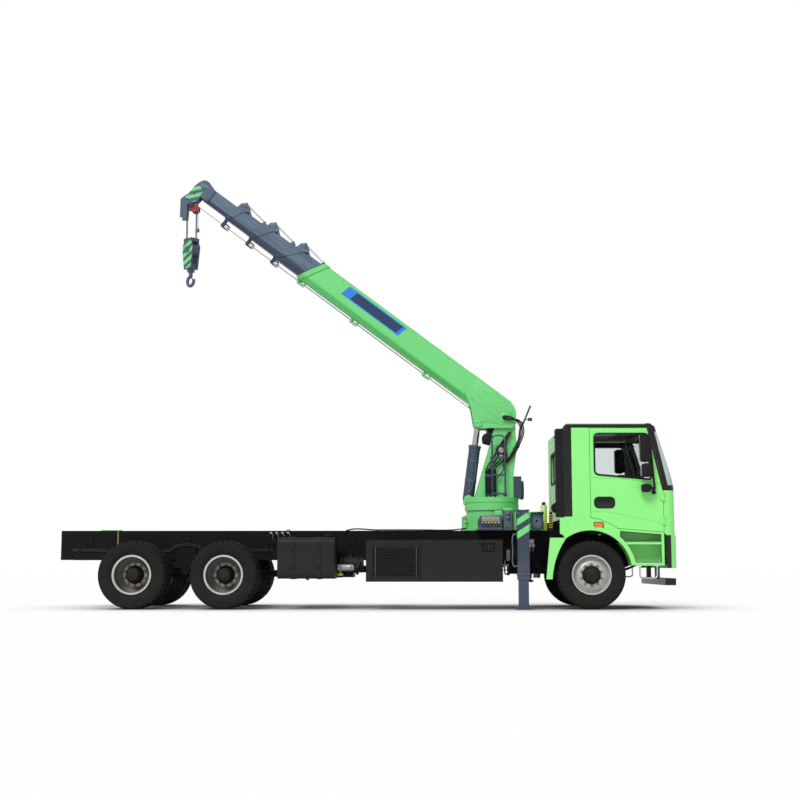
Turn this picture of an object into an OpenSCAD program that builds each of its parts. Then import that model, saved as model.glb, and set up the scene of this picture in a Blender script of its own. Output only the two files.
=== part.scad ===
// Truck-mounted telescopic crane on a three-axle cab-over chassis
// Millimetres, +X to the front, +Y to the left, +Z up, tyres on Z = 0

/* [Chassis] */
// Front axle to the first rear axle
wheelbase = 5600; // [5400:50:6200]
// First rear axle to the second
tandem_gap = 1400; // [1350:10:1500]
// Front axle to the bumper's front face
front_overhang = 1310; // [1300:5:1360]
// Second rear axle to the end of the frame
rear_overhang = 1300; // [1000:20:1800]
// Width over the frame rails
frame_w = 860; // [840:2:880]
// Height of a frame rail
rail_h = 286; // [270:2:300]
// Flange width of a frame rail
rail_flange = 85; // [75:1:95]
// Plate thickness of a frame rail
rail_t = 10; // [8:1:14]
// Underside of the rails above the ground
rail_z = 749; // [745:1:770]
// Height of the crane subframe on the rails
subframe_h = 175; // [150:1:190]
// Wall of the subframe tubes
subframe_t = 8; // [6:1:12]

/* [Wheels] */
// Tyre radius
tyre_r = 522; // [510:1:526]
// Tyre width
tyre_w = 295; // [280:1:300]
// Rim radius under the bead
rim_r = 285; // [275:1:292]
// Wall of a rim
rim_t = 12; // [8:1:16]
// Front track between tyre centres
front_track = 2040; // [2020:5:2060]
// Rear track between twin centres
rear_track = 1860; // [1850:5:1880]
// Spacing of the twin tyres
twin_gap = 325; // [315:1:340]
// Kingpin inboard of the tyre centre
kingpin_in = 140; // [130:1:150]
// Radius of the wheel spindles
spindle_r = 50; // [40:1:60]
// Radius of the wheel hubs
hub_r = 120; // [105:1:130]

/* [Cab] */
// Width of the cab
cab_w = 2400; // [2350:10:2460]
// Back wall of the cab behind the front axle
cab_back = 407; // [390:1:430]
// Roof above the ground
cab_top = 2831; // [2780:1:2835]
// Thickness of walls, roof and doors
cab_wall = 60; // [50:1:70]
// Sill height behind the doors
sill_back_z = 1381; // [1340:1:1400]
// Sill height at the front of the doors
sill_front_z = 1160; // [1150:1:1190]
// Underside of the front panel
nose_z = 1120; // [1100:1:1140]
// Back edge of the doors behind the front axle
door_back = 5; // [-10:1:30]
// Front edge of the doors ahead of the front axle
door_front = 1097; // [1080:1:1100]
// Running gap around the doors
door_gap = 6; // [5:0.5:10]
// Foot of the windscreen above the ground
screen_foot_z = 1818; // [1780:1:1850]
// Backward lean of the windscreen over its height
screen_lean = 300; // [260:5:340]
// Thickness of the glass
glass_t = 6; // [4:0.5:10]
// Radius of the front wheel arch
arch_r = 625; // [615:1:640]

/* [Crane] */
// Slewing axis behind the front axle
slew_back = 1450; // [1430:5:1480]
// Radius of the base drum
drum_r = 410; // [390:2:430]
// Height of the base drum
drum_h = 325; // [310:1:340]
// Radius of the turntable
table_r = 434; // [420:2:450]
// Height of the turntable
table_h = 206; // [190:2:220]
// Running gap under the turntable
slew_gap = 0.5; // [0.3:0.1:1]
// Boom pivot ahead of the slewing axis
pivot_fore = 207; // [200:1:215]
// Boom pivot above the deck
pivot_rise = 1821; // [1810:1:1840]
// Half width of the column's lower part
column_half = 200; // [190:1:210]
// Half width of the column's head between the boom cheeks
head_half = 155; // [145:1:158]
// Radius of the column's head about the pivot
head_r = 170; // [160:1:175]
// Radius of the boom pivot pin
pivot_r = 55; // [45:1:60]
// Boom angle above level in the parked pose
boom_angle = 37; // [32:0.5:42]
// Wall of the boom sections
boom_wall = 9; // [7:0.5:10]
// Running clearance of pins, pads and rods
fit = 0.3; // [0.2:0.1:0.5]

/* [Lift cylinder] */
// Barrel pin behind the slewing axis
barrel_pin_back = 379; // [370:1:385]
// Barrel pin above the deck
barrel_pin_rise = 502; // [490:1:515]
// Rod eye behind the boom pivot
eye_back = 425; // [415:1:435]
// Rod eye below the boom pivot
eye_drop = 101; // [95:1:110]
// Barrel radius
barrel_r = 92; // [85:1:96]
// Barrel length from its pin
barrel_len = 890; // [860:5:920]
// Rod radius
rod_r = 50; // [42:1:56]
// Radius of the lift cylinder's pins
lift_pin_r = 35; // [30:1:38]

/* [Outriggers] */
// Right-hand beam behind the front axle
beam_back = 1039; // [1020:1:1050]
// Spacing of the two beams along the truck
beam_pitch = 225; // [220:1:230]
// Width of an outrigger beam
beam_w = 176; // [160:1:180]
// Height of an outrigger beam
beam_h = 240; // [220:1:250]
// Side clearance of a beam in its tube
beam_play = 7; // [5:0.5:8]
// Wall of the outrigger tubes and beams
beam_wall = 12; // [8:1:14]
// Jack leg centre from the truck's middle
leg_y = 1160; // [1150:1:1180]
// Width of the jack box
jack_w = 180; // [170:1:184]
// Underside of the jack box above the ground
jack_z = 451; // [445:1:470]
// Width of the foot plate
foot_w = 231; // [210:1:240]
// Foot above the ground when the leg is down
foot_gap = 5; // [3:1:12]
// Lift of the far leg in the parked pose
leg_stroke = 380; // [340:5:390]

/* [Hidden] */
$fa = 5;
$fs = 2;
green = [0.44, 0.85, 0.49];
lime = [0.53, 0.94, 0.49];
slate = [0.27, 0.32, 0.41];
black = [0.11, 0.11, 0.11];
steel = [0.78, 0.78, 0.76];
rubber = [0.15, 0.14, 0.13];
glass = [0.35, 0.42, 0.44];

// Places along the truck
front_x = (wheelbase + tandem_gap + rear_overhang - front_overhang) / 2;
rear_1_x = front_x - wheelbase;
rear_2_x = rear_1_x - tandem_gap;
tandem_x = (rear_1_x + rear_2_x) / 2;
tail_x = rear_2_x - rear_overhang;
bumper_x = front_x + front_overhang;
slew_x = front_x - slew_back;
axle_z = tyre_r;
rail_top = rail_z + rail_h;
deck_z = rail_top + subframe_h;
rail_out = frame_w / 2;
rail_in = rail_out - rail_flange;
frame_front = bumper_x - 130;
subframe_front = front_x - 300;

// Outline of the cab
cab_x0 = front_x - cab_back;
nose_x = bumper_x - 20;
screen_top_x = nose_x - screen_lean;
screen_top_z = cab_top - 50;
door_x0 = front_x - door_back;
door_x1 = front_x + door_front;
side_y = cab_w / 2;
corner_x = 150;
corner_y = 190;

// Crane places
drum_top = deck_z + drum_h;
table_z = drum_top + slew_gap;
table_top = table_z + table_h;
pivot_x = slew_x + pivot_fore;
pivot_z = deck_z + pivot_rise;
boom_dx = -cos(boom_angle);
boom_dz = sin(boom_angle);
pin_x = slew_x - barrel_pin_back;
pin_z = deck_z + barrel_pin_rise;
eye_x = pivot_x - eye_back;
eye_z = pivot_z - eye_drop;
lift_len = norm([eye_x - pin_x, eye_z - pin_z]);
lift_tilt = atan2(eye_x - pin_x, eye_z - pin_z);
beam_r_x = front_x - beam_back;
beam_l_x = beam_r_x + beam_pitch;
tube_z = deck_z + beam_wall;
beam_z = tube_z + fit;
tube_end = leg_y - jack_w / 2 - 10;
beam_stroke = 1700;
leg_w = jack_w - 30;

// Boom sections: width, depth, end from the pivot, rake of the mouth
BOOM = [
    [340, 430, 4130, 265],
    [296, 374, 4670, 250],
    [258, 330, 5190, 150],
    [222, 290, 5710, 80],
    [188, 250, 6200, 0]
];
boom_axis = 66;
boom_root = 430;
tail_step = 70;
cheek_t = 40;
cheek_in = head_half + 10;
head_u = BOOM[4][2];
hook_u = head_u + 90;
hook_v = boom_axis - 296;
hook_pin_r = 22;
hook_x = pivot_x + hook_u * boom_dx - hook_v * boom_dx * tan(boom_angle);
hook_z = pivot_z + hook_u * boom_dz + hook_v * cos(boom_angle);

// A box between two corners
module block(x0, x1, y0, y1, z0, z1) {
    translate([x0, y0, z0]) cube([x1 - x0, y1 - y0, z1 - z0]);
}

// An X-Z outline carried from y0 to y1
module across(y0, y1) {
    translate([0, y1, 0]) rotate([90, 0, 0]) linear_extrude(y1 - y0) children();
}

// A Y-Z outline carried from x0 to x1
module along(x0, x1) {
    translate([x0, 0, 0]) rotate([90, 0, 90]) linear_extrude(x1 - x0) children();
}

// A round bar along Y
module rod_y(x, z, y0, y1, r) {
    translate([x, y0, z]) rotate([-90, 0, 0]) cylinder(h = y1 - y0, r = r);
}

// A round bar along X
module rod_x(y, z, x0, x1, r) {
    translate([x0, y, z]) rotate([0, 90, 0]) cylinder(h = x1 - x0, r = r);
}

// A round bar from point to point in the X-Z plane at one Y
module strut(y, a, b, r) {
    translate([a[0], y, a[1]])
        rotate([0, atan2(b[0] - a[0], b[1] - a[1]), 0])
            cylinder(h = norm(b - a), r = r);
}

module both_sides() {
    children();
    mirror([0, 1, 0]) children();
}

// Side -1 is the right of the truck and +1 the left
module on_side(side) {
    if (side > 0) children();
    else mirror([0, 1, 0]) children();
}

// A rectangle with round corners
module round_rect(x0, x1, y0, y1, r) {
    translate([x0 + r, y0]) square([x1 - x0 - 2 * r, y1 - y0]);
    translate([x0, y0 + r]) square([x1 - x0, y1 - y0 - 2 * r]);
    for (x = [x0 + r, x1 - r])
        for (y = [y0 + r, y1 - r])
            translate([x, y]) circle(r = r);
}

// Frame rails are channels with their flanges turned inwards
module frame_rails() {
    cross_h = rail_h - 60;
    cross_y = rail_out - rail_t / 2;
    cross_x = [tandem_x - 40, rear_1_x + 900, front_x - 3300, slew_x - 250, frame_front - 80];
    color(black) {
        both_sides() along(tail_x, frame_front) polygon([
            [rail_out, rail_z], [rail_out, rail_top], [rail_in, rail_top], [rail_in, rail_top - rail_t],
            [rail_out - rail_t, rail_top - rail_t], [rail_out - rail_t, rail_z + rail_t],
            [rail_in, rail_z + rail_t], [rail_in, rail_z]
        ]);
        for (x = cross_x)
            block(x, x + 80, -cross_y, cross_y, rail_z + 30, rail_z + 30 + cross_h);
    }
}

// Crane subframe of two box tubes with cross tubes and bolt holes for a body
body_hole_r = 11;
body_hole_dx = 2400;
body_hole_x = rear_1_x - 100;
body_hole_y = (rail_out + rail_in) / 2;
module subframe() {
    inner = subframe_t;
    color(black) difference() {
        union() {
            both_sides() difference() {
                block(tail_x, subframe_front, rail_in, rail_out, rail_top, deck_z);
                block(tail_x - 1, subframe_front + 1, rail_in + inner, rail_out - inner,
                    rail_top + inner, deck_z - inner);
            }
            for (x = [tail_x, rear_2_x, rear_1_x + 300, front_x - 3600])
                block(x, x + 60, -rail_in - inner / 2, rail_in + inner / 2, rail_top + 20, deck_z - 40);
        }
        both_sides() for (x = [-body_hole_dx / 2, body_hole_dx / 2])
            translate([body_hole_x + x, body_hole_y, rail_top - 1])
                cylinder(h = subframe_h + 2, r = body_hole_r);
    }
}

// Front axle: a dropped beam with kingpin bosses
kingpin_y = front_track / 2 - kingpin_in;
kingpin_r = 25;
boss_h = 130;
front_spring_y = rail_out - rail_flange / 2;
front_pad_z = axle_z - 60;
module front_axle() {
    drop = 150;
    beam_half = 45;
    inner = kingpin_y - 210;
    color(black) both_sides() difference() {
        union() {
            translate([front_x - beam_half, 0, 0]) along(0, 2 * beam_half) polygon([
                [0, axle_z - drop - 45], [inner, axle_z - drop - 45], [kingpin_y - 75, axle_z - 50],
                [kingpin_y, axle_z - 50], [kingpin_y, axle_z + 50], [inner + 20, axle_z - drop + 55],
                [0, axle_z - drop + 55]
            ]);
            translate([front_x, kingpin_y, axle_z - boss_h / 2]) cylinder(h = boss_h, r = 52);
            block(front_x - 90, front_x + 90, front_spring_y - 45, front_spring_y + 45,
                axle_z - drop, front_pad_z);
        }
        translate([front_x, kingpin_y, axle_z - boss_h]) cylinder(h = 2 * boss_h, r = kingpin_r + fit);
    }
}

// Steering knuckle: fork lugs on the kingpin, steering arm and spindle
module knuckle(side) {
    lug = 34;
    lug_z = boss_h / 2 + fit;
    reach = front_track / 2 + 60;
    color(black) on_side(side) {
        translate([front_x, kingpin_y, axle_z - lug_z - lug]) cylinder(h = 2 * (lug_z + lug), r = kingpin_r);
        for (z = [axle_z + lug_z, axle_z - lug_z - lug])
            block(front_x - 50, front_x + 50, kingpin_y - 45, kingpin_y + 92, z, z + lug);
        block(front_x - 60, front_x + 60, kingpin_y + 60, kingpin_y + 92, axle_z - lug_z - lug,
            axle_z + lug_z + lug);
        rod_y(front_x, axle_z, kingpin_y + 80, reach, spindle_r);
        block(front_x - 210, front_x - 50, kingpin_y - 25, kingpin_y + 25, axle_z - lug_z - lug,
            axle_z - lug_z);
    }
}
module knuckle_left() { knuckle(1); }
module knuckle_right() { knuckle(-1); }

// Rim lips stand beside the tyre's beads
lip_h = 16;
rim_half = tyre_w * 0.37;
bead_half = rim_half - 3;

// Tyre flank: share of the section's height, share of the half width
module tyre_section() {
    half = tyre_w / 2;
    bead = rim_r + fit;
    foot = rim_r + lip_h + 3;
    h = tyre_r - foot;
    side = [[0.05, 0.82], [0.25, 0.96], [0.45, 1], [0.66, 0.97], [0.85, 0.9], [0.95, 0.82], [1, 0.66]];
    flank = concat([[bead, bead_half], [foot, bead_half]], [for (p = side) [foot + p[0] * h, p[1] * half]]);
    polygon(concat(flank, [for (i = [len(flank) - 1:-1:0]) [flank[i][0], -flank[i][1]]]));
}

module tyre(x, y) {
    translate([x, y, axle_z]) rotate([-90, 0, 0]) rotate_extrude() tyre_section();
}

// Wheel: rim barrel with lips, dished disc, hub with its bore; the disc's dish is towards +Y
module wheel_section(dish, hub_back, hub_front) {
    half = rim_half;
    lip = rim_r + lip_h;
    bore = spindle_r + fit;
    disc_t = 16;
    disc_r = rim_r * 0.62;
    polygon([
        [bore, hub_back], [hub_r, hub_back], [hub_r, dish - disc_t], [disc_r, dish - disc_t],
        [rim_r - rim_t - 6, -disc_t / 2], [rim_r - rim_t, -half + 30], [rim_r - rim_t + 8, -half - rim_t],
        [lip, -half - rim_t], [lip, -half - 2], [rim_r, -half - 2], [rim_r, half + 2], [lip, half + 2],
        [lip, half + rim_t], [rim_r - rim_t + 8, half + rim_t], [rim_r - rim_t, half - 30],
        [rim_r - rim_t, 20], [disc_r + 6, dish], [hub_r - 24, dish], [hub_r - 34, dish + 40],
        [hub_r - 42, hub_front], [0, hub_front], [0, hub_front - 18], [bore, hub_front - 18]
    ]);
}

module front_rim(side) {
    y = front_track / 2;
    hub_back = kingpin_y + 92 + 6 - y;
    color(steel) on_side(side) translate([front_x, y, axle_z]) rotate([-90, 0, 0]) rotate_extrude()
        wheel_section(72, hub_back, 150);
}
module front_tyre(side) { color(rubber) on_side(side) tyre(front_x, front_track / 2); }
module front_tyre_left() { front_tyre(1); }
module front_tyre_right() { front_tyre(-1); }
module front_rim_left() { front_rim(1); }
module front_rim_right() { front_rim(-1); }

// Rear twins: the outer rim dishes inwards to the hub face, the inner one outwards
twin_out = rear_track / 2 + twin_gap / 2;
twin_in = rear_track / 2 - twin_gap / 2;
hub_face = rear_track / 2;
brake_y = twin_in - tyre_w / 2 + 30;
module rim_barrel(middle) {
    half = rim_half;
    lip = rim_r + lip_h;
    wall = rim_r - rim_t;
    rotate_extrude() polygon([
        [wall, middle - half - rim_t], [lip, middle - half - rim_t], [lip, middle - half - 2],
        [rim_r, middle - half - 2], [rim_r, middle + half + 2], [lip, middle + half + 2],
        [lip, middle + half + rim_t], [wall, middle + half + rim_t]
    ]);
}
module rim_disc(middle, face, thick) {
    wall = rim_r - rim_t + 4;
    flat = rim_r * 0.66;
    seat = (middle + 2 * face) / 3;
    rotate_extrude() polygon([
        [hub_r - 10, face], [hub_r - 10, face + thick], [flat, face + thick], [wall, seat + thick],
        [wall, seat], [flat, face]
    ]);
}
module rear_rims(x, side) {
    disc_t = 16;
    bore = spindle_r + fit;
    color(steel) on_side(side) translate([x, 0, axle_z]) rotate([-90, 0, 0]) {
        rim_barrel(twin_out);
        rim_barrel(twin_in);
        rim_disc(twin_out, hub_face, disc_t);
        rim_disc(twin_in, hub_face - disc_t, disc_t);
        rotate_extrude() polygon([
            [bore, brake_y], [hub_r + 60, brake_y], [hub_r + 60, brake_y + 190], [hub_r, hub_face - 60],
            [hub_r, hub_face + 60], [hub_r - 24, hub_face + 110], [hub_r - 40, hub_face + 200],
            [0, hub_face + 200], [0, hub_face + 182], [bore, hub_face + 182]
        ]);
    }
}
module rear_tyres(x, side) {
    color(rubber) on_side(side) {
        tyre(x, twin_out);
        tyre(x, twin_in);
    }
}
module rear_tyres_1_left() { rear_tyres(rear_1_x, 1); }
module rear_tyres_1_right() { rear_tyres(rear_1_x, -1); }
module rear_tyres_2_left() { rear_tyres(rear_2_x, 1); }
module rear_tyres_2_right() { rear_tyres(rear_2_x, -1); }
module rear_rims_1_left() { rear_rims(rear_1_x, 1); }
module rear_rims_1_right() { rear_rims(rear_1_x, -1); }
module rear_rims_2_left() { rear_rims(rear_2_x, 1); }
module rear_rims_2_right() { rear_rims(rear_2_x, -1); }

// Rear axles: banjo housings with a nose for the propeller shaft, spring pads and spindles
axle_r = 75;
banjo_r = 215;
nose_len = 330;
rear_spring_y = (rail_out + twin_in - tyre_w / 2) / 2;
rear_spring_w = 80;
rear_pad_z = axle_z + axle_r + 25;
module rear_axles() {
    color(black) for (x = [rear_1_x, rear_2_x]) {
        rod_y(x, axle_z, -brake_y + 6, brake_y - 6, axle_r);
        rod_y(x, axle_z, -hub_face - 170, hub_face + 170, spindle_r);
        rod_y(x, axle_z, -120, 120, banjo_r);
        rod_x(0, axle_z, x, x + nose_len, 100);
        if (x == rear_1_x) rod_x(0, axle_z, x - nose_len, x, 80);
        both_sides() block(x - 70, x + 70, rear_spring_y - rear_spring_w / 2,
            rear_spring_y + rear_spring_w / 2, axle_z, rear_pad_z);
    }
}

// Leaf springs: height of the pack's face along its half length
leaf_half_f = 800;
leaf_rise_f = rail_z - 90 - front_pad_z;
function sag(x, half, rise) = rise * x * x / (half * half);
module front_leaf_outline() {
    steps = [-1:0.125:1];
    polygon(concat(
        [for (s = steps) [front_x + s * leaf_half_f, front_pad_z + sag(s, 1, leaf_rise_f)]],
        [for (i = [16:-1:0]) let (s = -1 + i * 0.125)
            [front_x + s * leaf_half_f, front_pad_z + sag(s, 1, leaf_rise_f) + 26 + 60 * (1 - abs(s))]]
    ));
}
module leaf_springs() {
    leaf = 26;
    rear_half = tandem_gap / 2 + 60;
    color(black) both_sides() {
        across(front_spring_y - 40, front_spring_y + 40) front_leaf_outline();
        for (s = [-1, 1])
            block(front_x + s * (leaf_half_f - 30) - 40, front_x + s * (leaf_half_f - 30) + 40,
                front_spring_y - 40, front_spring_y + 40, rail_z - 90, rail_z);
        across(rear_spring_y - rear_spring_w / 2, rear_spring_y + rear_spring_w / 2)
            for (i = [0:3])
                translate([tandem_x - rear_half * (1 - i * 0.22), rear_pad_z + i * leaf])
                    square([2 * rear_half * (1 - i * 0.22), leaf + 1]);
        across(rail_out, rear_spring_y - rear_spring_w / 2 - 5) polygon([
            [tandem_x - 150, rail_z + 190], [tandem_x + 150, rail_z + 190], [tandem_x + 170, rail_z],
            [tandem_x + 80, rear_pad_z - 110], [tandem_x - 80, rear_pad_z - 110], [tandem_x - 170, rail_z]
        ]);
        rod_y(tandem_x, rear_pad_z - 60, rail_out + 2, rear_spring_y + rear_spring_w / 2, 45);
        block(tandem_x - 60, tandem_x + 60, rear_spring_y - rear_spring_w / 2,
            rear_spring_y + rear_spring_w / 2, rear_pad_z - 70, rear_pad_z + 1);
    }
}

// Engine and gearbox as plain blocks with the propeller shafts
engine_back = front_x - 560;
gear_back = engine_back - 640;
module driveline() {
    engine_front = front_x + 640;
    half = rail_in - 50;
    color(black) {
        block(engine_back, front_x + 60, -half, half, axle_z + 130, sill_back_z - 40);
        block(front_x + 59, engine_front, -half, half, axle_z + 130, rail_top + 110);
        block(engine_back + 100, engine_front - 150, -170, 170, axle_z + 70, axle_z + 140);
        rod_x(0, rail_z - 30, gear_back, engine_back + 1, 190);
        both_sides() for (x = [engine_back + 160, engine_front - 220])
            block(x, x + 90, half - 1, rail_out - rail_t, rail_z + 110, rail_z + 170);
        rod_x(0, rail_z - 30, gear_back - 60, gear_back + 1, 70);
        strut(0, [gear_back - 30, rail_z - 30], [rear_1_x + nose_len + 30, axle_z], 55);
        rod_x(0, axle_z, rear_1_x + nose_len, rear_1_x + nose_len + 60, 70);
        rod_x(0, axle_z, rear_2_x + nose_len, rear_1_x - nose_len, 50);
    }
}

// End beam between the rails
tail_beam_x = tail_x + 30;
module tail_beam() {
    half = rail_out - rail_t - fit;
    color(black) block(tail_beam_x, tail_beam_x + 80, -half, half, rail_z + 30, rail_top - 30);
}

// Right-hand fuel tank with straps and brackets to the frame rail
gear_out = side_y;
bay_x0 = rear_1_x + tyre_r + 294;
bay_x1 = beam_r_x - 312;
bay = bay_x1 - bay_x0;
tank_x0 = bay_x0;
tank_x1 = bay_x0 + 0.2546 * bay;
module fuel_tank() {
    top = rail_top + 60;
    bottom = 455;
    inner = rail_out + 130;
    color(black) mirror([0, 1, 0]) {
        along(tank_x0, tank_x1) round_rect(inner, gear_out - 8, bottom + 8, top - 8, 90);
        for (x = [tank_x0 + 200, tank_x1 - 270]) {
            along(x, x + 60) round_rect(inner - 8, gear_out, bottom, top, 96);
            block(x, x + 60, rail_out, inner + 20, rail_z + 20, rail_top - 30);
        }
    }
}

// Right-hand side cover with a louvred bay
cover_x0 = bay_x0 + 0.3938 * bay;
cover_x1 = bay_x1;
cover_top = rail_top + 17;
cover_bottom = 418;
module side_cover() {
    louvre_x = [cover_x0 + 110, cover_x0 + 800];
    pitch = 42;
    color(black) mirror([0, 1, 0]) difference() {
        union() {
            block(cover_x0, cover_x1, rail_out + 240, gear_out, cover_bottom, cover_top);
            for (x = [cover_x0 + 200, cover_x1 - 300])
                block(x, x + 80, rail_out, rail_out + 260, rail_z + 20, rail_top - 40);
        }
        for (z = [cover_bottom + 90:pitch:cover_top - 110])
            block(louvre_x[0], louvre_x[1], gear_out - 12, gear_out + 1, z, z + 18);
        block(cover_x1 - 320, cover_x1 - 110, gear_out - 30, gear_out + 1, cover_top - 190, cover_top - 50);
    }
}

// Left-hand oil tank, battery box and silencer, and the right-hand air tank
module left_gear() {
    inner = rail_out + 120;
    silencer = 0.277 * bay;
    silencer_x = [cover_x1 - silencer + 200, cover_x1 - 200];
    battery = 0.233 * bay;
    color(black) {
        along(tank_x0, tank_x1 + 200) round_rect(inner, gear_out, 470, rail_top + 40, 60);
        block(cover_x0, cover_x0 + battery, inner, gear_out, 480, rail_top);
        rod_x(gear_out - 280, 720, cover_x1 - silencer, cover_x1, 250);
        for (x = concat([tank_x0 + 200, tank_x1 - 100, cover_x0 + 150, cover_x0 + battery - 200], silencer_x))
            block(x, x + 60, rail_out, inner + 40, rail_z + 20, rail_top - 60);
        for (x = silencer_x)
            block(x, x + 60, inner, gear_out - 280, rail_z + 20, rail_z + 140);
        rod_x(-rail_out - 200, 690, tank_x1 + 60, cover_x0 - 60, 110);
        block(tank_x1 + 180, tank_x1 + 240, -rail_out - 200, -rail_out, rail_z + 10, rail_z + 90);
    }
}

// Coolant bottle and post on the right-hand subframe tube, clear of the outrigger tubes
module cab_rear_gear() {
    y = -(rail_in + rail_out) / 2;
    bottle_x = beam_l_x + beam_w / 2 + beam_play + beam_wall + 62;
    color([0.7, 0.88, 0.31]) {
        translate([bottle_x, y, deck_z]) cylinder(h = 400, r = 52);
        translate([bottle_x, y, deck_z + 390]) cylinder(h = 60, r = 30);
    }
    color(black) {
        translate([bottle_x + 110, y, deck_z]) cylinder(h = 300, r = 26);
    }
}

// Air intake duct on the cab's back wall with its ribbed elbow
module intake_duct() {
    x0 = cab_x0 - 110;
    y0 = -side_y + 20;
    elbow_x = cab_x0 - 82;
    color(black) {
        block(x0, cab_x0, y0, y0 + 240, sill_back_z + 23, cab_top - 80);
        for (i = [0:4])
            rod_y(elbow_x, sill_back_z + 170, y0 + 238 + i * 36, y0 + 262 + i * 36, 80);
        rod_y(elbow_x, sill_back_z + 170, y0 + 230, y0 + 420, 66);
    }
}

// Lower edge of cab and doors: share of the door's length from its back, share of the sill's rise
SILL = [[0, 1], [0.13, 0.86], [0.27, 0.55], [0.37, 0.24], [1, 0]];
sill_rise = sill_back_z - sill_front_z;
function sill_point(i, w) = [
    door_x0 + SILL[i][0] * (door_x1 - door_x0), sill_front_z + SILL[i][1] * sill_rise + w
];

// Side outline of the cab, drawn in by w for its inside
module cab_side(w) {
    polygon(concat([
        [cab_x0 + w, sill_back_z + w], [cab_x0 + w, cab_top - 50 - 0.4 * w],
        [cab_x0 + 50 + 0.4 * w, cab_top - w], [screen_top_x - 70 - 0.3 * w, cab_top - w],
        [screen_top_x - w, screen_top_z - 0.5 * w], [nose_x - w, screen_foot_z - 0.2 * w],
        [nose_x - w, nose_z + w], [door_x1 + 40, nose_z + w]
    ], [for (i = [4:-1:0]) sill_point(i, w)]));
}

// Plan of the cab with rounded front corners
module cab_plan(w) {
    arc = [0:15:90];
    corner = [for (a = arc) [nose_x - w - corner_x * (1 - sin(a)), side_y - w - corner_y * (1 - cos(a))]];
    polygon(concat(
        [[cab_x0 + w - 1, side_y - w]], corner, [for (i = [6:-1:0]) [corner[i][0], -corner[i][1]]],
        [[cab_x0 + w - 1, -side_y + w]]
    ));
}

module cab_block(w) {
    intersection() {
        across(-side_y + w, side_y - w) cab_side(w);
        translate([0, 0, nose_z - 1]) linear_extrude(cab_top) cab_plan(w);
    }
}

module cab_hollow() {
    difference() {
        cab_block(0);
        cab_block(cab_wall);
    }
}

// Point on the windscreen's outside at height z
function screen_x(z) = nose_x - (z - screen_foot_z) * screen_lean / (screen_top_z - screen_foot_z);

// Band along the windscreen from height z0 to z1, between two depths behind its outside
module screen_band(z0, z1, d0, d1) {
    polygon([
        [screen_x(z0) - d0, z0], [screen_x(z1) - d0, z1], [screen_x(z1) - d1, z1], [screen_x(z0) - d1, z0]
    ]);
}
screen_z0 = screen_foot_z + 60;
screen_z1 = screen_top_z - 70;
screen_half = side_y - corner_y - 20;

// Door outline in the cab's side, grown by g
pillar = 95;
module door_outline(g) {
    top = cab_top - cab_wall - 15;
    rise = 11 - g;
    polygon(concat([
        [door_x0 - g, sill_back_z + rise], [door_x0 - g, top + g], [screen_x(top) - pillar + g, top + g],
        [door_x1 + g, screen_foot_z + 120], [door_x1 + g, sill_front_z + rise]
    ], [for (i = [3:-1:1]) sill_point(i, rise)]));
}

// Side window in the door with round corners
module window_outline() {
    top = cab_top - 172;
    low = screen_foot_z + 160;
    back = door_x0 + 78;
    back_low = low + 76;
    front_top = screen_x(top) - pillar - 51;
    front_low = front_top + 40;
    polygon([
        [back, back_low + 60], [back, top - 60], [back + 18, top - 18], [back + 60, top],
        [front_top - 60, top], [front_top - 18, top - 16], [front_top + 4, top - 60], [front_low, low + 60],
        [front_low - 16, low + 14], [front_low - 60, low + 4], [back + 60, back_low - 4],
        [back + 16, back_low + 12]
    ]);
}

// Door hinges: knuckles on the door, pins and lugs on the cab
hinge_y = side_y + 14;
hinge_x = door_x1 + door_gap / 2;
hinge_r = 13;
hinge_pin_r = 6;
hinge_h = 90;
hinge_lug = 15;
HINGE_Z = [sill_front_z + 130, screen_foot_z - 170];
module hinge_cab_side() {
    for (z = HINGE_Z) {
        translate([hinge_x, hinge_y, z - hinge_lug - 1])
            cylinder(h = hinge_h + 2 * hinge_lug + 2, r = hinge_pin_r);
        for (lug = [z - hinge_lug - 1, z + hinge_h + 1]) {
            translate([hinge_x, hinge_y, lug]) cylinder(h = hinge_lug, r = hinge_r);
            block(hinge_x, hinge_x + 38, side_y + 1, hinge_y, lug, lug + hinge_lug);
            block(hinge_x + 8, hinge_x + 38, side_y - 2, side_y + 2, lug, lug + hinge_lug);
        }
    }
}

split_x = door_x1 + 45;
split_z = screen_foot_z - 20;
module front_zone() {
    block(split_x, bumper_x + 10, -side_y - 10, side_y + 10, nose_z - 10, split_z);
}
module roof_zone() {
    block(cab_x0 - 10, bumper_x + 10, -side_y - 10, side_y + 10, cab_top - cab_wall, cab_top + 10);
}

back_window = [[-700, 2000], [700, 2480]];
module cab_shell() {
    color(lime) {
        difference() {
            cab_hollow();
            front_zone();
            roof_zone();
            both_sides() across(side_y - cab_wall - 1, side_y + 1) door_outline(door_gap);
            across(-screen_half, screen_half) screen_band(screen_z0, screen_z1, -80, 140);
            block(cab_x0 - 1, cab_x0 + cab_wall + 1, back_window[0][0], back_window[1][0],
                back_window[0][1], back_window[1][1]);
        }
        both_sides() {
            hinge_cab_side();
            block(cab_x0 + 60, cab_x0 + 160, rail_in, rail_out, deck_z, sill_back_z + 5);
            along(front_x + 880, front_x + 980) polygon([
                [rail_in, rail_top], [rail_out, rail_top], [rail_out, sill_front_z + 60],
                [rail_in, sill_front_z + 60]
            ]);
        }
    }
}
module cab_roof() {
    color(lime) intersection() {
        cab_hollow();
        roof_zone();
    }
}
module cab_front() {
    color(lime) difference() {
        intersection() {
            cab_hollow();
            front_zone();
        }
        for (i = [0:3])
            block(nose_x - 25, nose_x + 1, -620, 620, nose_z + 90 + i * 95, nose_z + 140 + i * 95);
    }
}
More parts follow.
